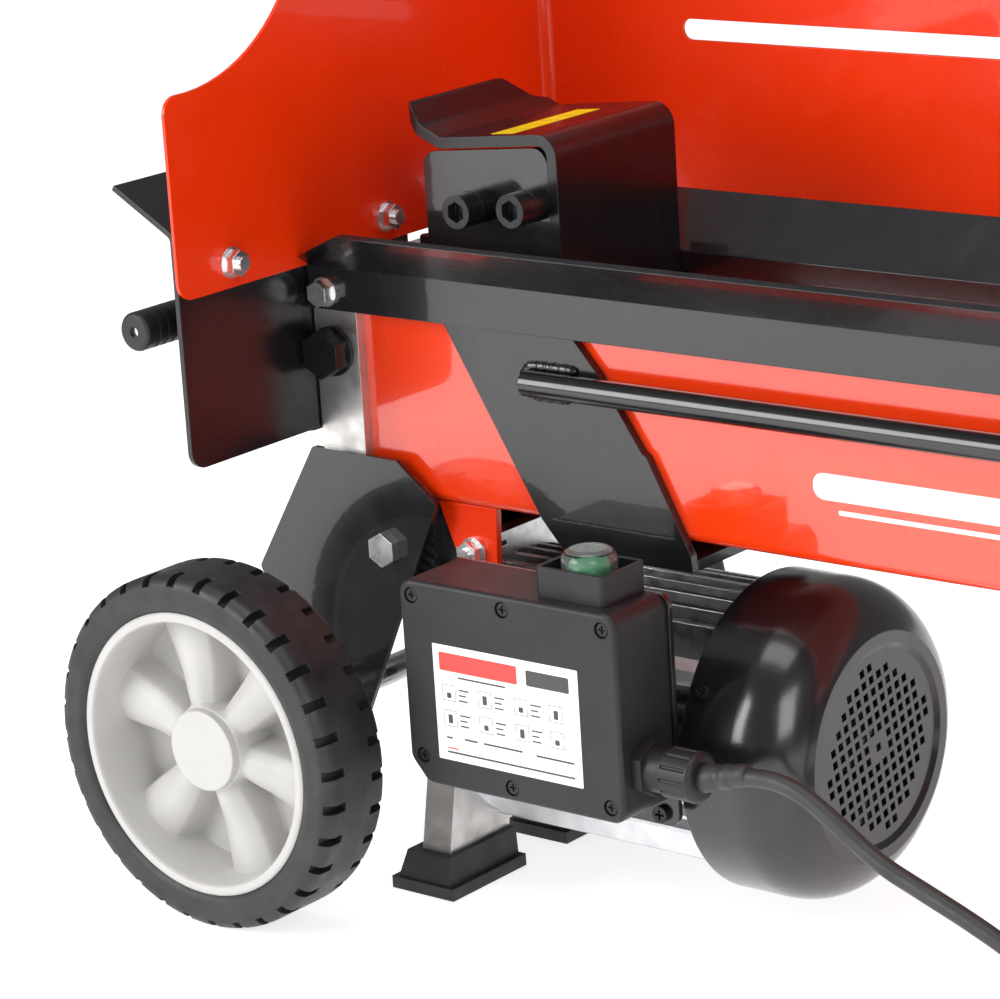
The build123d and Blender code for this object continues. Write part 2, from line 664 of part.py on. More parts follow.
with BuildPart() as motor_housing:
    with BuildSketch(Plane.YZ.offset(housing_x)) as section:
        with Locations((0, motor_z)):
            Circle(housing_r)
        fin_count = int(fin_flat // fin_pitch)
        with Locations((0, motor_z)):
            with Locations(*[(i * fin_pitch, 0) for i in range(-fin_count, fin_count + 1)]):
                Rectangle(fin_t, 2 * fin_r)
            with Locations(*[(0, i * fin_pitch) for i in range(-fin_count, fin_count + 1)]):
                Rectangle(2 * fin_r, fin_t)
        with Locations((0, motor_z)):
            Circle(fin_r, mode=Mode.INTERSECT)
        with Locations((0, motor_z)):
            Circle(bore_r_in, mode=Mode.SUBTRACT)
    extrude(section.sketch, amount=housing_end_x - housing_x)
    box(pad_x0, pad_x1, -fin_r, -housing_r + 2, pad_z0, pad_z1)
save(motor_housing, "motor_housing")

with BuildPart() as stator:
    rod_x(stator_x0, stator_x1, 0, motor_z, bore_r_in)
    for x0, x1 in ((stator_x0 - 14, stator_x0), (stator_x1, stator_x1 + 14)):
        rod_x(x0, x1, 0, motor_z, 52)
    rod_x(stator_x0 - 15, stator_x1 + 15, 0, motor_z, 34, Mode.SUBTRACT)
save(stator, "stator")

with BuildPart() as rear_shield:
    rod_x(254, housing_end_x, 0, motor_z, bore_r_in)
    rod_x(rear_bearing_x - 2, 254, 0, motor_z, bearing_r + 6)
    rod_x(rear_bearing_x, rear_bearing_x + bearing_len, 0, motor_z, bearing_r, Mode.SUBTRACT)
    rod_x(rear_bearing_x - 2, rear_bearing_x, 0, motor_z, bearing_r - 6, Mode.SUBTRACT)
save(rear_shield, "rear_shield")

with BuildPart() as bearings:
    for x in (front_bearing_x, rear_bearing_x):
        rod_x(x, x + bearing_len, 0, motor_z, bearing_r)
        rod_x(x, x + bearing_len, 0, motor_z, shaft_r + run_gap, Mode.SUBTRACT)
        for end in (x, x + bearing_len - 1.5):
            with BuildSketch(Plane.YZ.offset(end)) as shield_ring:
                with Locations((0, motor_z)):
                    Circle(17.5)
                    Circle(11.5, mode=Mode.SUBTRACT)
            extrude(shield_ring.sketch, amount=1.5, mode=Mode.SUBTRACT)
save(bearings, "bearings")

core_r = 33.4
shaft_end_x = 318.0
with BuildPart() as rotor:
    rod_x(gear_x0 + 2.1, shaft_end_x, 0, motor_z, shaft_r)
    rod_x(stator_x0, stator_x1, 0, motor_z, core_r)
    for x in (stator_x0 - 6, stator_x1):
        rod_x(x, x + 6, 0, motor_z, core_r - 2)
        with BuildSketch(Plane.YZ.offset(x)) as slots:
            with Locations((0, motor_z)):
                with PolarLocations(26, 12):
                    Circle(3.2)
        extrude(slots.sketch, amount=6, mode=Mode.SUBTRACT)
save(rotor, "rotor")

fan_x0, fan_x1 = 282.0, 306.0
fan_blades = 8
with BuildPart() as cooling_fan:
    rod_x(fan_x0, fan_x1, 0, motor_z, 16)
    rod_x(fan_x0, fan_x0 + 3, 0, motor_z, 66)
    with BuildSketch(Plane.YZ.offset(fan_x0)) as blades:
        with Locations((0, motor_z)):
            with PolarLocations(40, fan_blades):
                Rectangle(56, 2.6)
    extrude(blades.sketch, amount=fan_x1 - fan_x0)
    rod_x(fan_x0 - 1, fan_x1 + 1, 0, motor_z, shaft_r, Mode.SUBTRACT)
save(cooling_fan, "cooling_fan")

cover_t = 1.5
cover_screw_turns = (30, 150, 270)


def cover_screw_plane(turn):
    """A plane on the inside of the fan cover's skirt, facing outwards."""
    across, up = math.cos(math.radians(turn)), math.sin(math.radians(turn))
    reach = cover_r - cover_t
    return face_plane(cover_x + 8, reach * across, motor_z + reach * up, (0, across, up))


round_x, flat_r = 290.0, 60.0
vent_pitch, vent_size, vent_turn = 7.0, 4.2, math.radians(12.0)
vent_rows = (2, 6, 8, 10, 12, 12, 14)      # holes in each row, from the rim to the middle
with BuildPart() as fan_cover:
    with BuildSketch(Plane.XY) as profile:
        with BuildLine():
            Line((cover_x, cover_r - cover_t / 2), (round_x, cover_r - cover_t / 2))
            TangentArc((round_x, cover_r - cover_t / 2), (cover_end_x - cover_t / 2, flat_r + 2),
                       tangent=(1, 0))
            Line((cover_end_x - cover_t / 2, flat_r + 2), (cover_end_x - cover_t / 2, flat_r - 4))
            Line((cover_end_x - cover_t / 2, flat_r - 4), (cover_end_x - 3, flat_r - 7))
            Line((cover_end_x - 3, flat_r - 7), (cover_end_x - 3, 0.001))
            offset(amount=cover_t / 2, kind=Kind.INTERSECTION)
        make_face()
        with Locations((300, -50)):
            Rectangle(200, 100, mode=Mode.SUBTRACT)
    revolve(profile.sketch, axis=Axis.X)
    fan_cover.part.position = (0, 0, motor_z)
    vents = [(0, 0)]
    for row, holes_in_row in enumerate(vent_rows):
        high = (len(vent_rows) - row - 0.5) * vent_pitch
        for i in range(holes_in_row):
            across = (i - (holes_in_row - 1) / 2) * vent_pitch
            if math.hypot(across, high) > vent_pitch:
                vents += [(across, high), (across, -high)]
    along_row = (0, math.cos(vent_turn), math.sin(vent_turn))
    vent_plane = Plane(origin=(cover_end_x - 8, 0, motor_z), x_dir=along_row, z_dir=(1, 0, 0))
    with BuildSketch(vent_plane) as holes:
        with Locations(*vents):
            Rectangle(vent_size, vent_size)
    extrude(holes.sketch, amount=12, mode=Mode.SUBTRACT)
    for turn in cover_screw_turns:
        with BuildSketch(cover_screw_plane(turn).offset(-3)) as screw_hole:
            Circle(2.3)
        extrude(screw_hole.sketch, amount=8, mode=Mode.SUBTRACT)
save(fan_cover, "fan_cover")

# ---------------------------------------------------------------- control box
box_wall = 2.5
box_corner = 8.0
box_post_r = 6.2
lid_screws = [(126, 197), (187, 198), (251.5, 197), (127.5, 109), (187, 101), (251.5, 102)]
stem_x, stem_y = 225.5, -110.0
plate_screw_x, plate_screw_z = 251.3, 85.2


def box_face(y, inset):
    """The control box's outline at a depth: a rectangle with one bevelled lower corner."""
    x0, x1 = box_x0 + inset, box_x1 - inset
    z0, z1 = box_z0 + inset, box_z1 - inset
    with BuildSketch(Plane.XZ.offset(-y)) as outline:
        with BuildLine():
            Polyline((x0, z1), (x0, z0 + 13), (x0 + 11, z0), (x1, z0), (x1, z1), close=True)
        make_face()
        fillet(outline.vertices(), box_corner - inset)
    return outline.sketch


with BuildPart() as control_box:
    depth = box_back_y - box_front_y - lid_t
    extrude(box_face(box_back_y, 0), amount=depth)
    extrude(box_face(box_back_y - box_wall, box_wall), amount=depth, mode=Mode.SUBTRACT)
    for x, z in lid_screws:
        rod_y(box_back_y - box_wall, box_front_y + lid_t, x, z, box_post_r)
        rod_y(box_front_y + lid_t + 14, box_front_y + lid_t, x, z, 2, Mode.SUBTRACT)
    rod_z_axis(box_z1 - 4, box_z1 + 1, stem_x, stem_y, 7, Mode.SUBTRACT)
    rod_x(box_x1 - 4, box_x1 + 1, gland_y, gland_z, 8, Mode.SUBTRACT)
save(control_box, "control_box")

with BuildPart() as box_lid:
    extrude(box_face(box_front_y + lid_t, 0), amount=lid_t)
    fillet(box_lid.faces().sort_by(Axis.Y)[0].edges(), 2.5)
    for x, z in lid_screws:
        rod_y(box_front_y, box_front_y + 3, x, z, 4.4, Mode.SUBTRACT)
        rod_y(box_front_y, box_front_y + lid_t, x, z, 2.1, Mode.SUBTRACT)
save(box_lid, "box_lid")

hood_x0, hood_x1, hood_y0, hood_y1 = 203.5, 247.5, -128.0, -92.0
hood_top_z = 221.5
with BuildPart() as switch_hood:
    box(hood_x0, hood_x1, hood_y0, hood_y1, box_z1, hood_top_z)
    fillet(switch_hood.edges().filter_by(Axis.Z), 3)
    box(hood_x0 + 2.5, hood_x1 - 2.5, hood_y0 + 2.5, hood_y1 - 2.5, box_z1 + 2, hood_top_z,
        Mode.SUBTRACT)
    rod_z_axis(box_z1, box_z1 + 3, stem_x, stem_y, 7, Mode.SUBTRACT)
save(switch_hood, "switch_hood")

press = 4.0
button_z = box_z1 + 2 + press + 0.6
with BuildPart() as start_button:
    rod_z_axis(button_z, button_z + 10, stem_x, stem_y, 11)
    rod_z_axis(198, button_z, stem_x, stem_y, 6)
    fillet(start_button.faces().sort_by(Axis.Z)[-1].edges(), 2)
save(start_button, "start_button")

dome_r = 14.6
dome_top_z = 230.0
with BuildPart() as button_dome:
    rod_z_axis(button_z + 0.2, dome_top_z, stem_x, stem_y, dome_r)
    fillet(button_dome.faces().sort_by(Axis.Z)[-1].edges(), 6.5)
    rod_z_axis(button_z, dome_top_z - 1.6, stem_x, stem_y, dome_r - 1.6, Mode.SUBTRACT)
save(button_dome, "button_dome")

with BuildPart() as capacitor:
    rod_x(132, 196, -113, 178, 14)
    rod_x(196, 202, -113, 178, 9)
    for y in (-117, -109):
        rod_x(202, 210, y, 178, 1.6)
save(capacitor, "capacitor")

with BuildPart() as contactor:
    box(213, 246, -126, box_back_y - box_wall, 136, 190)
    box(213, 246, -128, -124, 146, 180)
    for x in (218.5, 229.5, 240.5):
        rod_z_axis(184, 190, x, -120, 3, Mode.SUBTRACT)
        rod_z_axis(136, 142, x, -120, 3, Mode.SUBTRACT)
save(contactor, "contactor")

with BuildPart() as box_plate:
    box(116, 262, box_back_y, box_back_y + 3, 79, 205)
    fillet(box_plate.edges().filter_by(Axis.Y), 7)
    box(pad_x0, pad_x1, box_back_y + 3, -fin_r, pad_z0, pad_z1)
    rod_y(box_back_y, box_back_y + 3, plate_screw_x, plate_screw_z, 2.6, Mode.SUBTRACT)
save(box_plate, "box_plate")

with BuildPart() as cable_gland:
    on_box = face_plane(box_x1, gland_y, gland_z, (1, 0, 0))
    disc(on_box, 8, -6)
    hexagon(on_box, 27, 6)
    disc(on_box.offset(6), 12, 10)
    disc(on_box.offset(16), 13.5, gland_end_x - box_x1 - 16)
    fillet(cable_gland.faces().sort_by(Axis.X)[-1].edges(), 3.5)
    with BuildSketch(on_box.offset(17)) as grips:
        with PolarLocations(13.8, 12):
            Circle(1.1)
    extrude(grips.sketch, amount=15, mode=Mode.SUBTRACT)
save(cable_gland, "cable_gland")

# ---------------------------------------------------------------- power cord, coil and plug
coil_x, coil_y, coil_r = 640.0, -40.0, 52.5
coil_turns_wide = 2
cord_route = [
    (gland_end_x, gland_y, gland_z), (322, -115.5, 126), (350, -116, 126), (376, -117, 112),
    (402, -119, 96), (430, -121, 87), (462, -124, 77), (494, -125, 63), (527, -123, 43),
    (558, -116, 23), (586, -106, 8.5), (611, -99, 4.9),
]
plug_x, plug_y, plug_z = 566.0, 20.0, 19.0
tail_route = [
    (614, 18.5, 14.6), (598, 20.5, 16.6), (582, 19.4, 18.6), (plug_x, plug_y, plug_z),
]


def cord_tube(route):
    """A round tube along straight runs that are joined by arcs as large as the runs allow."""
    points = [Vector(*p) for p in route]
    radii = []
    for before, at, after in zip(points, points[1:], points[2:]):
        turn = math.radians((at - before).get_angle(after - at))
        shorter = min((at - before).length, (after - at).length)
        radii.append(0.45 * shorter / math.tan(turn / 2))
    print("cord radii:", [round(r) for r in radii])
    with BuildPart() as tube:
        with BuildLine() as path:
            FilletPolyline(*points, radius=radii)
        with BuildSketch(Plane(origin=path.line @ 0, z_dir=path.line % 0)):
            Circle(cord_r)
        sweep(path=path.line)
    length = sum(edge.length for edge in path.edges())
    ratio = tube.part.volume / (math.pi * cord_r ** 2 * length)
    print(f"tube length {length:.1f} mm, volume over section times length {ratio:.4f}")
    return tube


with BuildPart() as power_cord:
    add(cord_tube(cord_route).part)
    add(cord_tube(tail_route).part)
save(power_cord, "power_cord")

with BuildPart() as cord_coil:
    with BuildSketch(Plane.XZ) as coil_section:
        with Locations((coil_r, 2 * cord_r)):
            RectangleRounded(2 * coil_turns_wide * cord_r, 4 * cord_r, cord_r - 0.1)
    revolve(coil_section.sketch, axis=Axis.Z)
    cord_coil.part.position = (coil_x, coil_y, 0)
save(cord_coil, "cord_coil")

with BuildPart() as plug:
    into = face_plane(plug_x, plug_y, plug_z, (-1, 0, 0))
    with BuildSketch(into):
        Circle(7.5)
    with BuildSketch(into.offset(24)):
        Circle(9.5)
    loft()
    with BuildSketch(into.offset(24)):
        Circle(14)
    with BuildSketch(into.offset(50)):
        Circle(18)
    loft()
    disc(into.offset(50), 18.9, 6)
    for y in (-9.5, 9.5):
        pin = into.offset(56)
        with BuildSketch(pin) as pin_outline:
            with Locations((y, 0)):
                Circle(2.4)
        extrude(pin_outline.sketch, amount=19)
save(plug, "plug")

# ---------------------------------------------------------------- valve, spool and lever
valve_x0, valve_x1 = -55.0, guard_x - guard_t - hand_guard_t
valve_y0, valve_y1 = -56.0, -2.0
valve_z0, valve_z1 = 250.0, 314.0
spool_x, spool_y = -45.0, -40.0
spool_r = 5.0
pivot_y, pivot_z = -14.0, 324.0
pivot_r = 4.0
with BuildPart() as valve_body:
    box(valve_x0, valve_x1, valve_y0, valve_y1, valve_z0, valve_z1)
    chamfer(valve_body.edges().filter_by(Axis.Z), 2)
    for y1, z0 in ((-47, 290), (-24.5, 302.5)):
        box(valve_x0, valve_x1, valve_y0, y1, z0, valve_z1, Mode.SUBTRACT)
    box(-40.7, -30, -24, -4, valve_z1, 334)
    fillet(valve_body.edges().filter_by(Axis.X).filter_by(lambda e: e.center().Z > 330), 8)
    rod_z_axis(258, valve_z1, spool_x, spool_y, spool_r + run_gap, Mode.SUBTRACT)
    rod_x(-41, -29, pivot_y, pivot_z, pivot_r + 0.03, Mode.SUBTRACT)
    for y, z in valve_bolts:
        rod_x(valve_x0, valve_x1, y, z, 4.1, Mode.SUBTRACT)
save(valve_body, "valve_body")

lever_x0, lever_x1 = -49.0, -41.0
with BuildPart() as control_lever:
    with BuildSketch(Plane.YZ.offset(lever_x0)):
        with Locations((pivot_y, pivot_z)):
            Circle(8)
        with Locations(((pivot_y - 150) / 2, pivot_z)):
            Rectangle(150 + pivot_y, 12)
    extrude(amount=lever_x1 - lever_x0)
    rod_x(lever_x1, -28, pivot_y, pivot_z, pivot_r)
save(control_lever, "control_lever")

grip_r = 10.8
grip_y0, grip_y1 = -152.0, -62.0
with BuildPart() as lever_grip:
    rod_y(grip_y0, grip_y1, spool_x, pivot_z, grip_r)
    fillet(lever_grip.edges().filter_by(GeomType.CIRCLE), 2.5)
    for i in range(12):
        y = grip_y0 + 8 + i * 6.4
        with BuildSketch(Plane.XZ.offset(-y)) as groove:
            with Locations((spool_x, pivot_z)):
                Circle(grip_r + 1)
                Circle(grip_r - 0.9, mode=Mode.SUBTRACT)
        extrude(groove.sketch, amount=-2.2, mode=Mode.SUBTRACT)
    rod_y(grip_y0, grip_y0 + 4, spool_x, pivot_z, 3, Mode.SUBTRACT)
    box(lever_x0, lever_x1, -150, grip_y1 + 1, pivot_z - 6, pivot_z + 6, Mode.SUBTRACT)
save(lever_grip, "lever_grip")

spool_top_z = 317.4
with BuildPart() as valve_spool:
    rod_z_axis(276, spool_top_z - 3, spool_x, spool_y, spool_r)
    for z in (284, 296):
        with BuildSketch(Plane.XY.offset(z)) as groove:
            with Locations((spool_x, spool_y)):
                Circle(spool_r)
                Circle(spool_r - 1.5, mode=Mode.SUBTRACT)
        extrude(groove.sketch, amount=6, mode=Mode.SUBTRACT)
    with Locations((spool_x, spool_y, spool_top_z - 1.5)):
        Cone(spool_r - 0.5, 2, 3)
save(valve_spool, "valve_spool")

with BuildPart() as oil_plugs:
    hexagon(face_plane(12, 30, block_top_z, (0, 0, 1)), 10, 6)
    rod_z_axis(block_top_z - 10, block_top_z, 12, 30, 3)
    at_end = face_plane(end_x1, 0, oil_plug_z, (1, 0, 0))
    hexagon(at_end, 19, 6)
    disc(at_end, 7, -14)
save(oil_plugs, "oil_plugs")

# ---------------------------------------------------------------- guards
guard_bend_r = 8.0
sheet_y0 = -156.5          # free edge of the guard's end sheet
guard_end_x = end_x1
slot_x0, slot_x1, slot_z0, slot_z1 = 97.0, 690.0, 439.5, 451.5
swoop_y, swoop_z, swoop_r = -143.0, 562.5, 108.0
guard_nuts_y = (-116.0, 12.0)
guard_nut_z = 359.0
bracket_t = 4.0
bracket_x0, bracket_x1 = end_x1 - 28, end_x1
bracket_bolt_zs = (360.0, 405.0)
with BuildPart() as guard_panel:
    with BuildSketch(Plane.XY.offset(guard_low_z)):
        with BuildLine():
            FilletPolyline((guard_x - guard_t / 2, sheet_y0),
                           (guard_x - guard_t / 2, guard_y + guard_t / 2),
                           (guard_end_x, guard_y + guard_t / 2), radius=guard_bend_r + guard_t / 2)
        trace(line_width=guard_t)
    extrude(amount=guard_top_z - guard_low_z)
    with BuildSketch(Plane.YZ.offset(guard_x - guard_t - 1)) as end_outline:
        with Locations(((sheet_y0 + guard_y + 5) / 2, (guard_low_z + guard_top_z) / 2)):
            Rectangle(guard_y + 5 - sheet_y0, guard_top_z - guard_low_z)
        with Locations((swoop_y, swoop_z)):
            Circle(swoop_r, mode=Mode.SUBTRACT)
        with Locations((swoop_y, guard_top_z)):
            Rectangle(2 * swoop_r, 2 * (guard_top_z - swoop_z), mode=Mode.SUBTRACT)
        fillet(end_outline.vertices().group_by(Axis.X)[0], 10)
        fillet(end_outline.vertices().group_by(Axis.Y)[-1].sort_by(Axis.X)[0], 18)
    extrude(end_outline.sketch, amount=guard_end_x + 20, mode=Mode.INTERSECT)
    with BuildSketch(Plane.XZ.offset(-guard_y + 1)) as slot:
        with Locations(((slot_x0 + slot_x1) / 2, (slot_z0 + slot_z1) / 2)):
            SlotOverall(slot_x1 - slot_x0, slot_z1 - slot_z0)
    extrude(slot.sketch, amount=-guard_t - 2, mode=Mode.SUBTRACT)
    with BuildSketch(Plane.XZ.offset(-guard_y - 20)) as long_outline:
        with Locations(((guard_end_x - 20) / 2, (guard_low_z + guard_top_z) / 2)):
            Rectangle(guard_end_x + 20, guard_top_z - guard_low_z)
        fillet(long_outline.vertices().group_by(Axis.X)[-1], 20)
    extrude(long_outline.sketch, amount=guard_y - sheet_y0 + 40, mode=Mode.INTERSECT)
    for y in guard_nuts_y:
        rod_x(guard_x - guard_t, guard_x, y, guard_nut_z, 4.2, Mode.SUBTRACT)
    for z in bracket_bolt_zs:
        rod_y(guard_y, guard_y + guard_t, (bracket_x0 + bracket_x1) / 2, z, 4.2, Mode.SUBTRACT)
save(guard_panel, "guard_panel")

hand_x1 = guard_x - guard_t
hand_x0 = hand_x1 - hand_guard_t
hand_y0, hand_y1, hand_z0, hand_z1 = -155.0, 32.0, 252.0, 380.0
flap_len, flap_turn = 47.0, math.radians(30)
with BuildPart() as hand_guard:
    mid_x = hand_x1 - hand_guard_t / 2
    with BuildSketch(Plane.XZ.offset(-hand_y1)) as hand_profile:
        with BuildLine():
            FilletPolyline((mid_x, hand_z0), (mid_x, hand_z1),
                           (mid_x - flap_len * math.cos(flap_turn),
                            hand_z1 + flap_len * math.sin(flap_turn)), radius=6)
        trace(line_width=hand_guard_t)
    extrude(hand_profile.sketch, amount=hand_y1 - hand_y0)
    fillet(hand_guard.edges().filter_by(Axis.X).filter_by(
        lambda e: e.center().Z < hand_z0 + 1), 10)
    for y in guard_nuts_y:
        rod_x(hand_x0, hand_x1, y, guard_nut_z, 4.2, Mode.SUBTRACT)
    for y, z in valve_bolts:
        rod_x(hand_x0, hand_x1, y, z, 4.2, Mode.SUBTRACT)
save(hand_guard, "hand_guard")

with BuildPart() as guard_bracket:
    box(bracket_x0, bracket_x1, block_half_w, block_half_w + bracket_t, 228, 268)
    box(bracket_x0, bracket_x1, block_half_w, guard_y + guard_t, 228, 232)
    box(bracket_x0, bracket_x1, guard_y + guard_t, guard_y + guard_t + bracket_t, 228, 425)
    rod_y(block_half_w, block_half_w + bracket_t, end_bolt_x, end_bolt_z, 8.2, Mode.SUBTRACT)
    for z in bracket_bolt_zs:
        rod_y(guard_y + guard_t, guard_y + guard_t + bracket_t, (bracket_x0 + bracket_x1) / 2, z,
              4.2, Mode.SUBTRACT)
save(guard_bracket, "guard_bracket")

# ---------------------------------------------------------------- fasteners
with BuildPart() as flange_bolts:
    for side in (-1, 1):
        for x in (rail_bolt_x, end_bolt_x):
            flange_bolt(x, side * web_y, rail_bolt_z, (0, side, 0))
        flange_nut(stud_x, side * (hanger_y + hanger_t), stud_z, (0, side, 0), stud=22, behind=12)
    for y in guard_nuts_y:
        flange_bolt(hand_x0, y, guard_nut_z, (-1, 0, 0), shank=16)
        base = face_plane(guard_x, y, guard_nut_z, (1, 0, 0))
        disc(base, 8.5, 2, 4.05)
        hexagon(base.offset(2), 12.8, 6, 4.05)
    for z in bracket_bolt_zs:
        outer_y = guard_y + guard_t + bracket_t
        flange_bolt((bracket_x0 + bracket_x1) / 2, outer_y, z, (0, 1, 0), shank=16)
        base = face_plane((bracket_x0 + bracket_x1) / 2, guard_y, z, (0, -1, 0))
        disc(base, 8.5, 2, 4.05)
        hexagon(base.offset(2), 12.8, 6, 4.05)
save(flange_bolts, "flange_bolts")

with BuildPart() as hex_bolts:
    for side in (-1, 1):
        bolt(bracket_bolt_x, side * web_y, bracket_bolt_z, (0, side, 0), 10, 17, 6.5, 18)
    for y, z in valve_bolts:
        bolt(valve_x0, y, z, (-1, 0, 0), 8, 13, 5.5, 60)
save(hex_bolts, "hex_bolts")

with BuildPart() as block_bolts:
    for side in (-1, 1):
        bolt(block_bolt_x, side * block_half_w, block_bolt_z, (0, side, 0), 16, 24, 10, 24, 14)
        seat_y = side * block_half_w + (bracket_t if side > 0 else 0)
        bolt(end_bolt_x, seat_y, end_bolt_z, (0, side, 0), 16, 24, 10, 18, 14)
save(block_bolts, "block_bolts")


def pan_screw(seat, head_r, head_h, shank_r, shank):
    """A small cross-recessed screw seated on a plane: one solid."""
    disc(seat, head_r, head_h)
    disc(seat, shank_r, -shank)
    with BuildSketch(seat.offset(head_h)) as cross:
        Rectangle(head_r * 1.2, head_r * 0.28)
        Rectangle(head_r * 0.28, head_r * 1.2)
    extrude(cross.sketch, amount=-head_h * 0.6, mode=Mode.SUBTRACT)


with BuildPart() as small_screws:
    for x, z in lid_screws:
        pan_screw(face_plane(x, box_front_y + 3, z, (0, -1, 0)), 3.6, 2.2, 1.9, 12)
    pan_screw(face_plane(plate_screw_x, box_back_y, plate_screw_z, (0, -1, 0)), 4.6, 3, 2.5, 14)
    for turn in cover_screw_turns:
        pan_screw(cover_screw_plane(turn).offset(cover_t), 3.8, 2.2, 2.1, 5)
save(small_screws, "small_screws")
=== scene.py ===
"""Looks for the log splitter: finishes, labels, welds, the mains cord, floor, light and camera.

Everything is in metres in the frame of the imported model. The CAD nodes keep their meshes and get
finishes here, but for the cord and the wheels' rims, which are drawn anew. Places on the machine
are given in part.py's millimetres and pass through `at`.
"""
import json
import math

import bpy
from mathutils import Matrix, Vector


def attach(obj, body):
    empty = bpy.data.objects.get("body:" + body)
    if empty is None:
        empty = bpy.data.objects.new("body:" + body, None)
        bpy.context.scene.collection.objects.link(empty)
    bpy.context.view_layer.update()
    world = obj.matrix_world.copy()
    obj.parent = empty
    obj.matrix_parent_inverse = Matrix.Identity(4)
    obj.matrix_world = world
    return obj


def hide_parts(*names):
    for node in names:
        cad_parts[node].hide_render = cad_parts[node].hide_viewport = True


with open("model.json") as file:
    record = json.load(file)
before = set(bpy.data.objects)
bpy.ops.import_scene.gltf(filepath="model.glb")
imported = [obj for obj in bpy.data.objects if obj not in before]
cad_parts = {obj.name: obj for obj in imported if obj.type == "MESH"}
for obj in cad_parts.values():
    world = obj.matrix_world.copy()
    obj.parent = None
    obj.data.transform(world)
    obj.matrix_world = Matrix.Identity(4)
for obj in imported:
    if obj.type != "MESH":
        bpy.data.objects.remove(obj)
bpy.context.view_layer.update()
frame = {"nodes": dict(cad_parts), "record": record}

nodes = frame["nodes"]
MM = 0.001
SHIFT = -0.390            # part.py draws from the wheel axle; the frame's origin is mid-machine


def at(x, y, z):
    """A point of part.py's drawing, in millimetres from the axle, as a place in this frame."""
    return Vector((x * MM + SHIFT, y * MM, z * MM))


# ---------------------------------------------------------------- camera
CAMERA_AT = Vector((1.00322, -1.56922, 0.78650))
AZIMUTH, ELEVATION, ROLL = (math.radians(a) for a in (40.0, 15.79, -3.62))
LENS, SENSOR = 137.97, 36.0


def add_camera():
    """The photograph's own camera: a long lens that looks down on the motor end."""
    back = Vector((math.sin(AZIMUTH) * math.cos(ELEVATION),
                   -math.cos(AZIMUTH) * math.cos(ELEVATION), math.sin(ELEVATION)))
    level = Vector((math.cos(AZIMUTH), math.sin(AZIMUTH), 0))
    upright = back.cross(level)
    right = math.cos(ROLL) * level + math.sin(ROLL) * upright
    up = math.cos(ROLL) * upright - math.sin(ROLL) * level
    data = bpy.data.cameras.new("camera")
    data.lens = LENS
    data.sensor_width = SENSOR
    data.clip_end = 60
    camera = bpy.data.objects.new("camera", data)
    turn = Matrix((right, up, back)).transposed().to_4x4()
    camera.matrix_world = Matrix.Translation(CAMERA_AT) @ turn
    bpy.context.scene.collection.objects.link(camera)
    bpy.context.scene.camera = camera


add_camera()


# ---------------------------------------------------------------- finishes
COAT_ROUGH = 0.04
PAINT_ROUGH = 0.24
PAINT_COAT_IOR = 1.72
EDGE_SAMPLES = 4


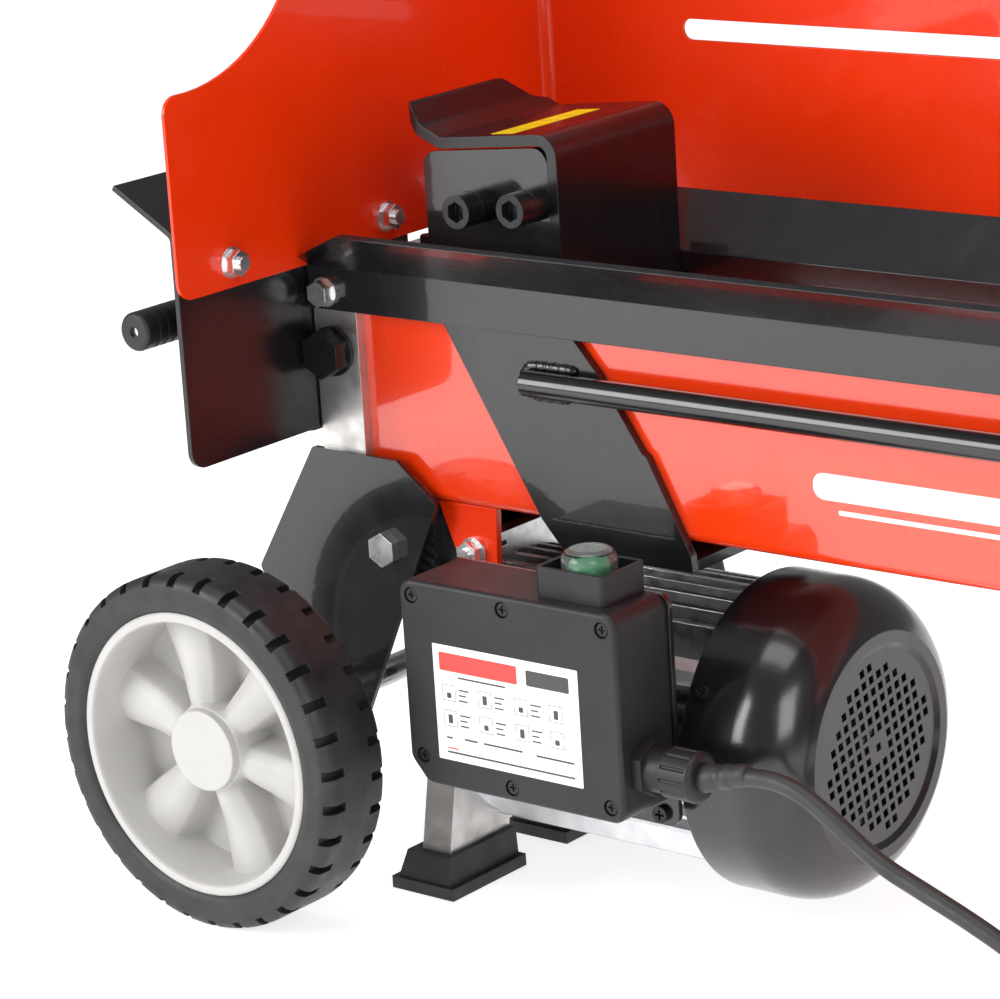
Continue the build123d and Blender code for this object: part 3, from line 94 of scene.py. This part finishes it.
class Finish:
    """One procedural material: a Principled shader with helpers that add detail to it."""

    def __init__(self, name, color, rough, metal=0.0, coat=0.0, ior=1.5):
        self.material = bpy.data.materials.new(name)
        self.material.use_nodes = True
        self.tree = self.material.node_tree
        self.shader = self.tree.nodes["Principled BSDF"]
        self.shader.inputs["Base Color"].default_value = (*color, 1)
        self.shader.inputs["Roughness"].default_value = rough
        self.shader.inputs["Metallic"].default_value = metal
        self.shader.inputs["Coat Weight"].default_value = coat
        self.shader.inputs["Coat Roughness"].default_value = COAT_ROUGH
        self.shader.inputs["IOR"].default_value = ior
        self.color = color
        self.rough = rough
        self.normal = None
        self.place = self.add("ShaderNodeTexCoord").outputs["Object"]

    def add(self, kind, **values):
        """A new node with its named inputs set."""
        node = self.tree.nodes.new(kind)
        for key, value in values.items():
            node.inputs[key.replace("_", " ")].default_value = value
        return node

    def link(self, out, into):
        """A link from one socket to another."""
        self.tree.links.new(out, into)

    def stretched(self, scale):
        """Object coordinates stretched along the axes."""
        mapping = self.add("ShaderNodeMapping")
        mapping.inputs["Scale"].default_value = scale
        self.link(self.place, mapping.inputs["Vector"])
        return mapping.outputs["Vector"]

    def noise(self, scale, detail=3.0, stretch=None):
        """A noise pattern; scale is in features per metre."""
        node = self.add("ShaderNodeTexNoise", Scale=scale, Detail=detail)
        self.link(self.stretched(stretch) if stretch else self.place, node.inputs["Vector"])
        return node.outputs["Fac"]

    def ramp(self, source, low, high, start=0.0, end=1.0):
        """Maps a pattern to a range of values."""
        node = self.add("ShaderNodeMapRange")
        node.inputs["From Min"].default_value = start
        node.inputs["From Max"].default_value = end
        node.inputs["To Min"].default_value = low
        node.inputs["To Max"].default_value = high
        self.link(source, node.inputs["Value"])
        return node.outputs["Result"]

    def edges(self, radius):
        """Softened edges, as paint and moulding leave them."""
        node = self.add("ShaderNodeBevel", Radius=radius)
        node.samples = EDGE_SAMPLES
        self.normal = node.outputs["Normal"]
        self.link(self.normal, self.shader.inputs["Normal"])
        return self

    def bump(self, source, height, coat_too=True):
        """A relief of that height, in metres, from a pattern."""
        node = self.add("ShaderNodeBump", Strength=1.0, Distance=height)
        self.link(source, node.inputs["Height"])
        if self.normal is not None:
            self.link(self.normal, node.inputs["Normal"])
        self.normal = node.outputs["Normal"]
        self.link(self.normal, self.shader.inputs["Normal"])
        if coat_too:
            self.link(self.normal, self.shader.inputs["Coat Normal"])
        return self

    def vary_rough(self, source, spread):
        """Roughness that wanders about its value."""
        out = self.ramp(source, self.rough - spread, self.rough + spread, 0.3, 0.7)
        self.link(out, self.shader.inputs["Roughness"])
        return self

    def vary_color(self, source, other, start=0.3, end=0.7):
        """A colour that a pattern mixes towards another."""
        node = self.tree.nodes.new("ShaderNodeMix")
        node.data_type = "RGBA"
        node.inputs["A"].default_value = (*self.color, 1)
        node.inputs["B"].default_value = (*other, 1)
        self.link(self.ramp(source, 0, 1, start, end), node.inputs["Factor"])
        self.link(node.outputs["Result"], self.shader.inputs["Base Color"])
        return self


def powder_coat(name, color, deeper, coat, coat_rough=0.03):
    """Glossy powder coat with orange peel and a faint change of tone; coat is its gloss."""
    finish = Finish(name, color, PAINT_ROUGH, coat=coat)
    finish.shader.inputs["Coat IOR"].default_value = PAINT_COAT_IOR
    finish.shader.inputs["Coat Roughness"].default_value = coat_rough
    finish.shader.inputs["Specular IOR Level"].default_value = 0.35
    finish.edges(0.0007)
    finish.bump(finish.noise(420, 2), 0.000012)
    finish.vary_color(finish.noise(9, 4), deeper, 0.25, 0.85)
    finish.vary_rough(finish.noise(60, 5), 0.05)
    return finish.material


def machined_steel(name, color, darker, rough, stretch):
    """Bare steel: mill marks along one axis with darker patches of oil and heat."""
    finish = Finish(name, color, rough, metal=1.0)
    finish.edges(0.0005)
    finish.bump(finish.noise(500, 3, stretch), 0.00005)
    finish.vary_color(finish.noise(45, 6), darker, 0.35, 0.75)
    finish.vary_rough(finish.noise(90, 5), 0.12)
    return finish.material


def cast_metal(name, color, darker, rough, grain, metal=1.0):
    """Die-cast or sand-cast metal: a grainy skin."""
    finish = Finish(name, color, rough, metal=metal)
    finish.edges(0.0006)
    finish.bump(finish.noise(900, 4), grain)
    finish.vary_color(finish.noise(70, 6), darker, 0.3, 0.8)
    finish.vary_rough(finish.noise(150, 4), 0.08)
    return finish.material


def moulded_plastic(name, color, other, rough, grain, shine=0.5):
    """Injection-moulded plastic with a fine spark-eroded texture."""
    finish = Finish(name, color, rough)
    finish.shader.inputs["Specular IOR Level"].default_value = shine
    finish.edges(0.0006)
    finish.bump(finish.noise(1500, 2), grain)
    finish.vary_color(finish.noise(35, 4), other, 0.3, 0.8)
    finish.vary_rough(finish.noise(40, 4), 0.05)
    return finish.material


def rubber(name, color, other, rough, grain):
    """Solid rubber: dull, slightly grainy and a little dusty."""
    finish = Finish(name, color, rough)
    finish.edges(0.0008)
    finish.bump(finish.noise(700, 5), grain)
    finish.vary_color(finish.noise(55, 7), other, 0.35, 0.85)
    finish.vary_rough(finish.noise(80, 5), 0.1)
    return finish.material


def clear_plastic(name):
    """Clear flexible dome over the switch."""
    finish = Finish(name, (0.90, 0.96, 0.93), 0.12, ior=1.42)
    finish.shader.inputs["Transmission Weight"].default_value = 0.95
    finish.bump(finish.noise(300, 2), 0.00005, coat_too=False)
    return finish.material


RED = powder_coat("red_paint", (0.82, 0.036, 0.002), (0.76, 0.029, 0.0015), 0.20)
# the beam's red: a glossier coat, and a base colour a little lighter than red_paint's that paints
# in the sheen of white light reflected off its side
RED_GLOSS_AND_SHEEN = powder_coat("red_paint_gloss_and_sheen", (0.86, 0.044, 0.003), (0.80, 0.036, 0.002), 0.82)
BLACK = powder_coat("black_paint", (0.0060, 0.0058, 0.0072), (0.009, 0.0088, 0.0105), 0.40)
BLACK_SATIN = powder_coat("black_satin", (0.005, 0.005, 0.006), (0.008, 0.0075, 0.009), 0.16, 0.22)
COVER = powder_coat("cover_paint", (0.007, 0.0068, 0.0085), (0.010, 0.0095, 0.012), 0.45, 0.16)
BARE = machined_steel("bare_steel", (0.70, 0.68, 0.67), (0.47, 0.45, 0.43), 0.42, (1, 1, 0.04))
GROUND = machined_steel("ground_steel", (0.60, 0.60, 0.61), (0.45, 0.45, 0.46), 0.28, (0.04, 1, 1))
CHROME = machined_steel("chrome_rod", (0.82, 0.82, 0.84), (0.74, 0.74, 0.76), 0.13, (1, 0.1, 0.1))
ZINC = machined_steel("zinc", (0.90, 0.90, 0.91), (0.72, 0.73, 0.72), 0.30, (0.3, 0.3, 1))
IRON = cast_metal("cast_iron", (0.055, 0.055, 0.060), (0.030, 0.030, 0.032), 0.48, 0.00012, 0.6)
ALLOY = cast_metal("motor_aluminium", (0.72, 0.73, 0.74), (0.55, 0.56, 0.58), 0.34, 0.00005)
LAMINATED = machined_steel("stator_steel", (0.34, 0.32, 0.30), (0.2, 0.19, 0.18), 0.5,
                           (1, 0.05, 0.05))
OXIDE = cast_metal("black_oxide", (0.020, 0.020, 0.022), (0.035, 0.035, 0.038), 0.30, 0.00002, 0.7)
WHITE = moulded_plastic("white_plastic", (0.50, 0.49, 0.475), (0.46, 0.45, 0.435), 0.42, 0.00003)
CASING = moulded_plastic("black_plastic", (0.010, 0.0095, 0.0115), (0.016, 0.0155, 0.018), 0.46,
                         0.00008, shine=0.4)
GREEN = moulded_plastic("green_plastic", (0.010, 0.30, 0.11), (0.008, 0.22, 0.08), 0.22, 0.00001)
TYRE = rubber("tyre", (0.011, 0.010, 0.0115), (0.024, 0.022, 0.023), 0.50, 0.00010)
FOOT = rubber("foot_rubber", (0.012, 0.011, 0.0125), (0.024, 0.023, 0.023), 0.55, 0.00008)
SHEATH = rubber("cord_rubber", (0.020, 0.020, 0.021), (0.034, 0.033, 0.033), 0.50, 0.00004)
CLEAR = clear_plastic("clear_plastic")

FINISHES = {
    "red_paint": RED, "black_paint": BLACK, "bare_steel": BARE, "cylinder_steel": GROUND,
    "chrome_rod": CHROME, "piston_iron": IRON, "zinc": ZINC, "black_bolt": OXIDE,
    "motor_aluminium": ALLOY, "stator_steel": LAMINATED, "cover_paint": COVER,
    "white_plastic": WHITE, "tyre": TYRE, "foot_rubber": FOOT, "black_plastic": CASING,
    "cord_rubber": SHEATH, "green_plastic": GREEN, "clear_plastic": CLEAR,
}
# nodes whose paint is glossier or duller than that of the others in their slot; the beam's red also
# has a base a little lighter than red_paint's, a painted sheen of reflected light on top of its
# real gloss
OWN_FINISH = {"beam": RED_GLOSS_AND_SHEEN, "hand_guard": BLACK_SATIN, "pusher_plate": BLACK_SATIN,
              "support_frame": BLACK_SATIN}


def dress_nodes():
    """Gives every CAD node its own finish or else that of its material slot in the record."""
    for entry in frame["record"]["subparts"]:
        part = nodes[entry["node"]]
        finish = OWN_FINISH.get(entry["node"], FINISHES[entry["material_slot"]])
        if part.material_slots:
            for material_slot in part.material_slots:
                material_slot.material = finish
        else:
            part.data.materials.append(finish)


dress_nodes()


def mesh_piece(name, verts, faces, finish, ride_on):
    """A mesh piece from points already in the frame."""
    mesh = bpy.data.meshes.new(name)
    mesh.from_pydata(verts, [], faces)
    mesh.materials.append(finish)
    piece = bpy.data.objects.new(name, mesh)
    bpy.context.scene.collection.objects.link(piece)
    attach(piece, ride_on)
    return piece


# ---------------------------------------------------------------- mains cord
CORD_R = 4.75
GLAND_END = (296, -115.5, 119.5)
CORD_ROUTE = [
    GLAND_END, (322, -115.5, 126), (350, -116, 126), (376, -117, 112),
    (402, -119, 96), (430, -121, 87), (462, -124, 77), (494, -125, 63), (527, -123, 43),
    (558, -116, 23), (586, -106, 8.5), (611, -99, 4.9),
]
TAIL_ROUTE = [(614, 18.5, 14.6), (598, 20.5, 16.6), (582, 19.4, 18.6), (566, 20, 19)]
COIL_CENTRE = (640, -40)
COIL_R = 52.5
COIL_TURNS = 4.5
POINTS_PER_TURN = 16
STEP_IN, LAYER_STEP, STEP_OUT = 0.75, 1.75, 3.0    # turns after which it goes in, up and out
STEP_TURNS = 0.5          # the part of a turn that each of these steps takes
SLEEVE_AXIS = (26, 0, 6.5)
SLEEVE_PROFILE = [(-6, 7.4), (0, 7.4), (4, 7.2), (9, 6.9), (10, 6.3), (13, 6.3), (14, 6.7),
                  (18, 6.4), (19, 5.9), (22, 5.8), (23, 6.1), (28, 5.4), (29, 4.9)]


def step_share(turned, start):
    """How much of a step that begins at start is done: 0 before it and 1 after it."""
    return min(max(turned - start, 0), STEP_TURNS) / STEP_TURNS


def coil_points():
    """Four and a half turns: two side by side on the floor and two and a half on top of them."""
    points = []
    count = int(COIL_TURNS * POINTS_PER_TURN)
    reach = 1 / math.cos(math.pi / POINTS_PER_TURN)
    for i in range(count + 1):
        turned = i / POINTS_PER_TURN
        layer = step_share(turned, LAYER_STEP)
        ring = 1 - 2 * step_share(turned, STEP_IN) + 2 * step_share(turned, STEP_OUT)
        radius = (COIL_R + ring * CORD_R) * reach
        angle = -math.pi / 2 + 2 * math.pi * turned
        points.append((COIL_CENTRE[0] + radius * math.cos(angle),
                       COIL_CENTRE[1] + radius * math.sin(angle), CORD_R + layer * 2 * CORD_R))
    return points


def smooth_curve(name, points, radius, ride_on, finish):
    """A round piece along one smooth NURBS spline."""
    data = bpy.data.curves.new(name, "CURVE")
    data.dimensions = "3D"
    data.bevel_depth = radius
    data.bevel_resolution = 8
    data.resolution_u = 8
    data.use_fill_caps = True
    spline = data.splines.new("NURBS")
    spline.points.add(len(points) - 1)
    for point, place in zip(spline.points, points):
        point.co = (*at(*place), 1)
    spline.order_u = 3
    spline.use_endpoint_u = True
    data.materials.append(finish)
    piece = bpy.data.objects.new(name, data)
    bpy.context.scene.collection.objects.link(piece)
    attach(piece, ride_on)
    return piece


def turned_piece(name, profile, start, along, ride_on, finish, sides=40):
    """A surface of revolution: profile is (distance along the axis, radius) in millimetres."""
    along = Vector(along).normalized()
    side = along.orthogonal().normalized()
    other = along.cross(side)
    verts, faces = [], []
    for reach, radius in profile:
        for i in range(sides):
            angle = 2 * math.pi * i / sides
            around = side * math.cos(angle) + other * math.sin(angle)
            verts.append(at(*start) + along * reach * MM + around * radius * MM)
    for row in range(len(profile) - 1):
        for i in range(sides):
            j = (i + 1) % sides
            faces.append((row * sides + i, row * sides + j, (row + 1) * sides + j,
                          (row + 1) * sides + i))
    faces.append(tuple(reversed(range(sides))))
    faces.append(tuple(range((len(profile) - 1) * sides, len(profile) * sides)))
    piece = mesh_piece(name, verts, faces, finish, ride_on)
    piece.data.shade_smooth()
    return piece


def add_cord():
    """The mains cord: out of the gland, down to the floor, round its coil and to its plug."""
    route = CORD_ROUTE + coil_points() + TAIL_ROUTE
    cord = smooth_curve("mains_cord", route, CORD_R * MM, "frame", SHEATH)
    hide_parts("power_cord", "cord_coil")
    sleeve = turned_piece("strain_relief", SLEEVE_PROFILE, GLAND_END, SLEEVE_AXIS, "frame", SHEATH)


add_cord()


# ---------------------------------------------------------------- labels and markings
def plain_finish(name, color, rough):
    """Printed film: a satin surface with a faint grain."""
    finish = Finish(name, color, rough, coat=0.3)
    finish.bump(finish.noise(900, 2), 0.00001)
    finish.vary_rough(finish.noise(120, 3), 0.04)
    return finish.material


FILM = plain_finish("label_film", (0.86, 0.86, 0.85), 0.34)
INK = plain_finish("label_ink", (0.03, 0.03, 0.03), 0.40)
INK_RED = plain_finish("label_red", (0.75, 0.03, 0.02), 0.36)
YELLOW = plain_finish("warning_yellow", (0.90, 0.72, 0.01), 0.34)


def rounded_outline(x0, x1, z0, z1, radius, steps=6):
    """A rounded rectangle in its own plane."""
    points = []
    corners = [(x1 - radius, z1 - radius, 0), (x0 + radius, z1 - radius, 90),
               (x0 + radius, z0 + radius, 180), (x1 - radius, z0 + radius, 270)]
    for cx, cz, first in corners:
        for i in range(steps + 1):
            angle = math.radians(first + 90 * i / steps)
            points.append((cx + radius * math.cos(angle), cz + radius * math.sin(angle)))
    return points


def patches(name, place, across, up, outlines, lift, thick, finish, ride_on):
    """Thin films laid on a flat face; place is their origin, in part.py's millimetres."""
    across, up = Vector(across).normalized(), Vector(up).normalized()
    out = across.cross(up)
    verts, faces = [], []
    for outline in outlines:
        base = [at(*place) + (across * a + up * b) * MM for a, b in outline]
        first, count = len(verts), len(outline)
        verts += [p + out * lift * MM for p in base] + [p + out * (lift + thick) * MM for p in base]
        faces.append(tuple(reversed(range(first, first + count))))
        faces.append(tuple(range(first + count, first + 2 * count)))
        for i in range(count):
            j = (i + 1) % count
            faces.append((first + i, first + j, first + count + j, first + count + i))
    return mesh_piece(name, verts, faces, finish, ride_on)


def bars(x0, x1, z0, z1, line):
    """The four sides of a ruled box."""
    sides = ((x0, x1, z0, z0 + line), (x0, x1, z1 - line, z1),
             (x0, x0 + line, z0, z1), (x1 - line, x1, z0, z1))
    return [rounded_outline(*side, line / 2.2, 2) for side in sides]


ALONG_X, UPWARDS = (1, 0, 0), (0, 0, 1)
LABEL_PLACE, LABEL_SIZE = (138.7, -136.5, 109.5), (95.9, 63.5)
BOX_COLUMNS, BOX_ROWS, BOX_SIDE = (5, 29, 53, 76), (33, 19), 9
PRINT_LIFT, PRINT_THICK = 0.15, 0.03


def add_rating_label():
    """A plain rating label: a red bar, ruled boxes and dark lines, with no words."""
    sheet = rounded_outline(0, LABEL_SIZE[0], 0, LABEL_SIZE[1], 0.8)
    patches("rating_label", LABEL_PLACE, ALONG_X, UPWARDS, [sheet], 0.02, 0.12, FILM, "frame")
    reds = [rounded_outline(4, 56, 49.5, 59.5, 1.0), rounded_outline(6, 14, 6.4, 7.2, 0.3)]
    blacks = [rounded_outline(62, 90, 50, 58.5, 1.0), rounded_outline(16, 48, 46.2, 47.2, 0.4)]
    for column, x in enumerate(BOX_COLUMNS):
        for row, z in enumerate(BOX_ROWS):
            blacks += bars(x, x + BOX_SIDE, z, z + BOX_SIDE, 0.35)
            mark_top = z + 4.6 + (row + column) % 2 * 2
            blacks.append(rounded_outline(x + 3, x + 6, z + 1.6, mark_top, 0.7))
            for line, reach in enumerate((7, 5, 6)):
                high = z + 7.4 - 2.9 * line
                if column < 3:
                    blacks.append(rounded_outline(x + 11, x + 11 + reach, high - 0.9, high, 0.3))
    for x0, x1, z in ((6, 10, 12), (18, 27, 12.5), (31, 57, 12.5), (66, 91, 12.0), (6, 91, 4.0)):
        blacks.append(rounded_outline(x0, x1, z, z + 1.1, 0.4))
    prints = (("label_red", reds, INK_RED), ("label_black", blacks, INK))
    for name, outlines, ink in prints:
        patches(name, LABEL_PLACE, ALONG_X, UPWARDS, outlines, PRINT_LIFT, PRINT_THICK, ink,
                "frame")


BEAM_SIDE_Y = -46
STRIPES = ((321, 470, 252, 266), (336, 470, 245, 247.5))


def add_beam_stripe():
    """A plain pair of white stripes on the beam's side."""
    outlines = [rounded_outline(x0, x1, z0, z1, (z1 - z0) / 2.2, 5) for x0, x1, z0, z1 in STRIPES]
    patches("beam_stripes", (0, BEAM_SIDE_Y, 0), ALONG_X, UPWARDS, outlines, 0.02, 0.06, FILM,
            "frame")


PUSHER_SLOPE = (82, 0, 7.5)          # along the pusher's top, from its lip to its face
LIP_FOLD_X, LIP_FOLD_Z = 86.5, 417.9
PUSHER_HALF_T = 3.02
STRIP_X, STRIP_Y = 131.5, -8


def add_pusher_stripe():
    """The yellow strip on top of the pusher, with a few thin dark lines."""
    along = Vector(PUSHER_SLOPE).normalized()
    rise = (STRIP_X - LIP_FOLD_X) * PUSHER_SLOPE[2] / PUSHER_SLOPE[0]
    middle = (STRIP_X, STRIP_Y, LIP_FOLD_Z + rise + PUSHER_HALF_T)
    strip = rounded_outline(-8, 8, -37, 37, 0.8, 3)
    marks = [rounded_outline(-6.5, 6.5, y, y + 0.5, 0.2, 2) for y in (-24, -11, 3, 17)]
    patches("pusher_strip", middle, along, (0, 1, 0), [strip], 0.03, 0.10, YELLOW, "carriage")
    patches("pusher_marks", middle, along, (0, 1, 0), marks, 0.13, 0.03, INK, "carriage")


add_rating_label()
add_beam_stripe()
add_pusher_stripe()


# ---------------------------------------------------------------- welds
BEAD_SIDES = 14
BEAD_R = 2.9
BEAD_FLATNESS = 0.75
PULL_BAR_Z = 295.6
YOKE_SIDE_Y = 52.2
BEAD_TURN_X, BEAD_START_X = 150, 178      # centre of the bead's bend, and where the bead starts
BEAD_HALF_GAP = 7.8                       # from the bar's axis to the middle of the bead
BEND_STEPS = 24


def weld_bead(name, points, radius, ride_on):
    """A hand-laid bead: a tube along the points that swells with every ripple, under the paint."""
    verts, faces = [], []
    for i, point in enumerate(points):
        ahead = Vector(points[min(i + 1, len(points) - 1)])
        behind = Vector(points[max(i - 1, 0)])
        along = (ahead - behind).normalized()
        out = Vector((0, -1, 0))
        side = along.cross(out).normalized()
        taper = min(1.0, 0.35 + 0.22 * min(i, len(points) - 1 - i))
        swell = radius * taper * (1 + 0.13 * math.sin(i * 2.1) + 0.07 * math.sin(i * 0.83 + 1))
        for k in range(BEAD_SIDES):
            angle = 2 * math.pi * k / BEAD_SIDES
            offset = side * math.cos(angle) + out * BEAD_FLATNESS * math.sin(angle)
            verts.append(at(*(Vector(point) + offset * swell)))
    for row in range(len(points) - 1):
        first = row * BEAD_SIDES
        for k in range(BEAD_SIDES):
            j = (k + 1) % BEAD_SIDES
            faces.append((first + k, first + j, first + BEAD_SIDES + j, first + BEAD_SIDES + k))
    faces.append(tuple(reversed(range(BEAD_SIDES))))
    faces.append(tuple(range((len(points) - 1) * BEAD_SIDES, len(points) * BEAD_SIDES)))
    bead = mesh_piece(name, verts, faces, BLACK, ride_on)
    bead.data.shade_smooth()


def add_bar_welds():
    """The bead that runs along, round and back along each pull bar's end on the yoke."""
    run = BEAD_START_X - BEAD_TURN_X
    points = [(BEAD_START_X - step, PULL_BAR_Z + BEAD_HALF_GAP) for step in range(run)]
    for step in range(BEND_STEPS + 1):
        angle = math.pi / 2 + math.pi * step / BEND_STEPS
        points.append((BEAD_TURN_X + BEAD_HALF_GAP * math.cos(angle),
                       PULL_BAR_Z + BEAD_HALF_GAP * math.sin(angle)))
    points += [(BEAD_TURN_X + step, PULL_BAR_Z - BEAD_HALF_GAP) for step in range(1, run - 3)]
    for where, side in (("front", -1), ("back", 1)):
        path = [(x, side * YOKE_SIDE_Y, z) for x, z in points]
        weld_bead(f"bar_weld_{where}", path, BEAD_R, "carriage")


add_bar_welds()


# ---------------------------------------------------------------- wheel faces
RIM_R, LIP_R, HUB_R = 80.0, 74.0, 23.0
CAP_DEPTH, SPOKE_DEPTH, BOWL_DEPTH, RIM_DEPTH = 8.0, 17.0, 37.0, 46.0
SPOKES = 6
FIRST_SPOKE = math.radians(45)
RIM_SIDES = 360
AXLE_Z = 100.0
RIM_EDGE_Y = 181.5        # outer edge of the rim, from the machine's middle
BACK_PROFILE = [(RIM_R, RIM_DEPTH), (76, RIM_DEPTH), (75, 42), (19, 42), (17, RIM_DEPTH),
                (3, RIM_DEPTH)]


def eased(value, start, end):
    """0 before start, 1 after end, smooth between them."""
    t = min(max((value - start) / (end - start), 0.0), 1.0)
    return t * t * (3 - 2 * t)


def rim_depth(r, angle):
    """How far the moulded face lies behind the rim's edge, in millimetres."""
    from_spoke = (angle - FIRST_SPOKE) % (2 * math.pi / SPOKES)
    from_spoke = min(from_spoke, 2 * math.pi / SPOKES - from_spoke)
    half_width = 9.5 + 0.17 * (r - 20)
    across = r * math.sin(from_spoke) / half_width
    top = SPOKE_DEPTH - 3.5 * (1 - eased(r, 24, 50)) + 7 * across * across
    face = top + (BOWL_DEPTH - top) * eased(across, 0.86, 1.16)
    face += (CAP_DEPTH + 4.5 - face) * (1 - eased(r, HUB_R + 0.4, HUB_R + 3.0))
    if r < HUB_R:
        face = CAP_DEPTH + 0.5 * eased(r, HUB_R - 1.2, HUB_R)
    face += (1.0 - face) * eased(r, LIP_R - 1.8, LIP_R + 0.6)
    return face - 1.0 * eased(r, LIP_R + 0.4, LIP_R + 1.4) + 0.9 * eased(r, RIM_R - 1.2, RIM_R)


def rim_radii():
    """Radii of the face's rings: closer together where the face is steep."""
    radii = [3, 10, 18, 21.5]
    radii += [HUB_R - 1.2 + 0.3 * i for i in range(16)]
    radii += [27 + 1.5 * i for i in range(30)]
    radii += [LIP_R - 2 + 0.25 * i for i in range(20)]
    return radii + [78.6, 79.2, 79.7, RIM_R]


def add_wheel_face(where, side):
    """The moulded wheel: cap, rounded spokes, deep bowls between them, lip, barrel and back."""
    rings = [[(r, rim_depth(r, 2 * math.pi * i / RIM_SIDES)) for i in range(RIM_SIDES)]
             for r in rim_radii()]
    rings += [[place] * RIM_SIDES for place in BACK_PROFILE]
    verts, faces = [], []
    for ring in rings:
        for i, (r, depth) in enumerate(ring):
            angle = 2 * math.pi * i / RIM_SIDES
            verts.append(at(r * math.cos(angle), side * (RIM_EDGE_Y - depth),
                            AXLE_Z + r * math.sin(angle)))
    for row in range(len(rings) - 1):
        for i in range(RIM_SIDES):
            j = (i + 1) % RIM_SIDES
            quad = [row * RIM_SIDES + i, (row + 1) * RIM_SIDES + i, (row + 1) * RIM_SIDES + j,
                    row * RIM_SIDES + j]
            faces.append(tuple(quad if side < 0 else reversed(quad)))
    last = (len(rings) - 1) * RIM_SIDES
    ends = [tuple(range(RIM_SIDES)), tuple(range(last, last + RIM_SIDES))]
    faces.append(ends[0] if side < 0 else tuple(reversed(ends[0])))
    faces.append(tuple(reversed(ends[1])) if side < 0 else ends[1])
    wheel = mesh_piece(f"wheel_{where}", verts, faces, WHITE, f"{where}_wheel")
    wheel.data.shade_smooth()
    wheel.data.set_sharp_from_angle(angle=math.radians(50))
    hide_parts(f"rim_{where}")


add_wheel_face("front", -1)
add_wheel_face("back", 1)


# ---------------------------------------------------------------- floor and light
FLOOR_HALF, FLOOR_Z = 14.0, -0.0004
FLOOR_GLOW = 0.72
SURROUND = 0.28


def add_floor():
    """A pale seamless floor that glows a little, as a lit sweep of paper does."""
    finish = Finish("studio_floor", (0.80, 0.80, 0.80), 0.60)
    finish.vary_rough(finish.noise(3, 3), 0.04)
    finish.shader.inputs["Emission Color"].default_value = (1, 1, 1, 1)
    finish.shader.inputs["Emission Strength"].default_value = FLOOR_GLOW
    mesh = bpy.data.meshes.new("studio_floor")
    quarters = ((-1, -1), (1, -1), (1, 1), (-1, 1))
    corners = [(a * FLOOR_HALF, b * FLOOR_HALF, FLOOR_Z) for a, b in quarters]
    mesh.from_pydata(corners, [], [(0, 1, 2, 3)])
    mesh.materials.append(finish.material)
    floor = bpy.data.objects.new("studio_floor", mesh)
    bpy.context.scene.collection.objects.link(floor)


def softbox(name, place, target, width, height, power):
    """A rectangular light that faces a target."""
    data = bpy.data.lights.new(name, "AREA")
    data.shape = "RECTANGLE"
    data.size, data.size_y = width, height
    data.energy = power
    light = bpy.data.objects.new(name, data)
    light.location = place
    light.rotation_euler = (Vector(target) - Vector(place)).to_track_quat("-Z", "Y").to_euler()
    bpy.context.scene.collection.objects.link(light)


def add_light():
    """A pale surround with a large softbox from each side and one overhead."""
    world = bpy.data.worlds.new("studio")
    world.use_nodes = True
    world.node_tree.nodes["Background"].inputs["Color"].default_value = (1, 1, 1, 1)
    world.node_tree.nodes["Background"].inputs["Strength"].default_value = SURROUND
    bpy.context.scene.world = world
    softbox("overhead", (-0.1, -0.3, 2.6), (-0.1, 0, 0.2), 2.0, 1.8, 34)
    softbox("left", (-1.7, -2.4, 1.3), (-0.1, 0, 0.3), 1.8, 1.6, 72)
    softbox("right", (2.2, -1.9, 1.5), (-0.1, 0, 0.25), 1.2, 1.6, 30)
    bpy.context.scene.view_settings.view_transform = "Standard"


add_floor()
add_light()
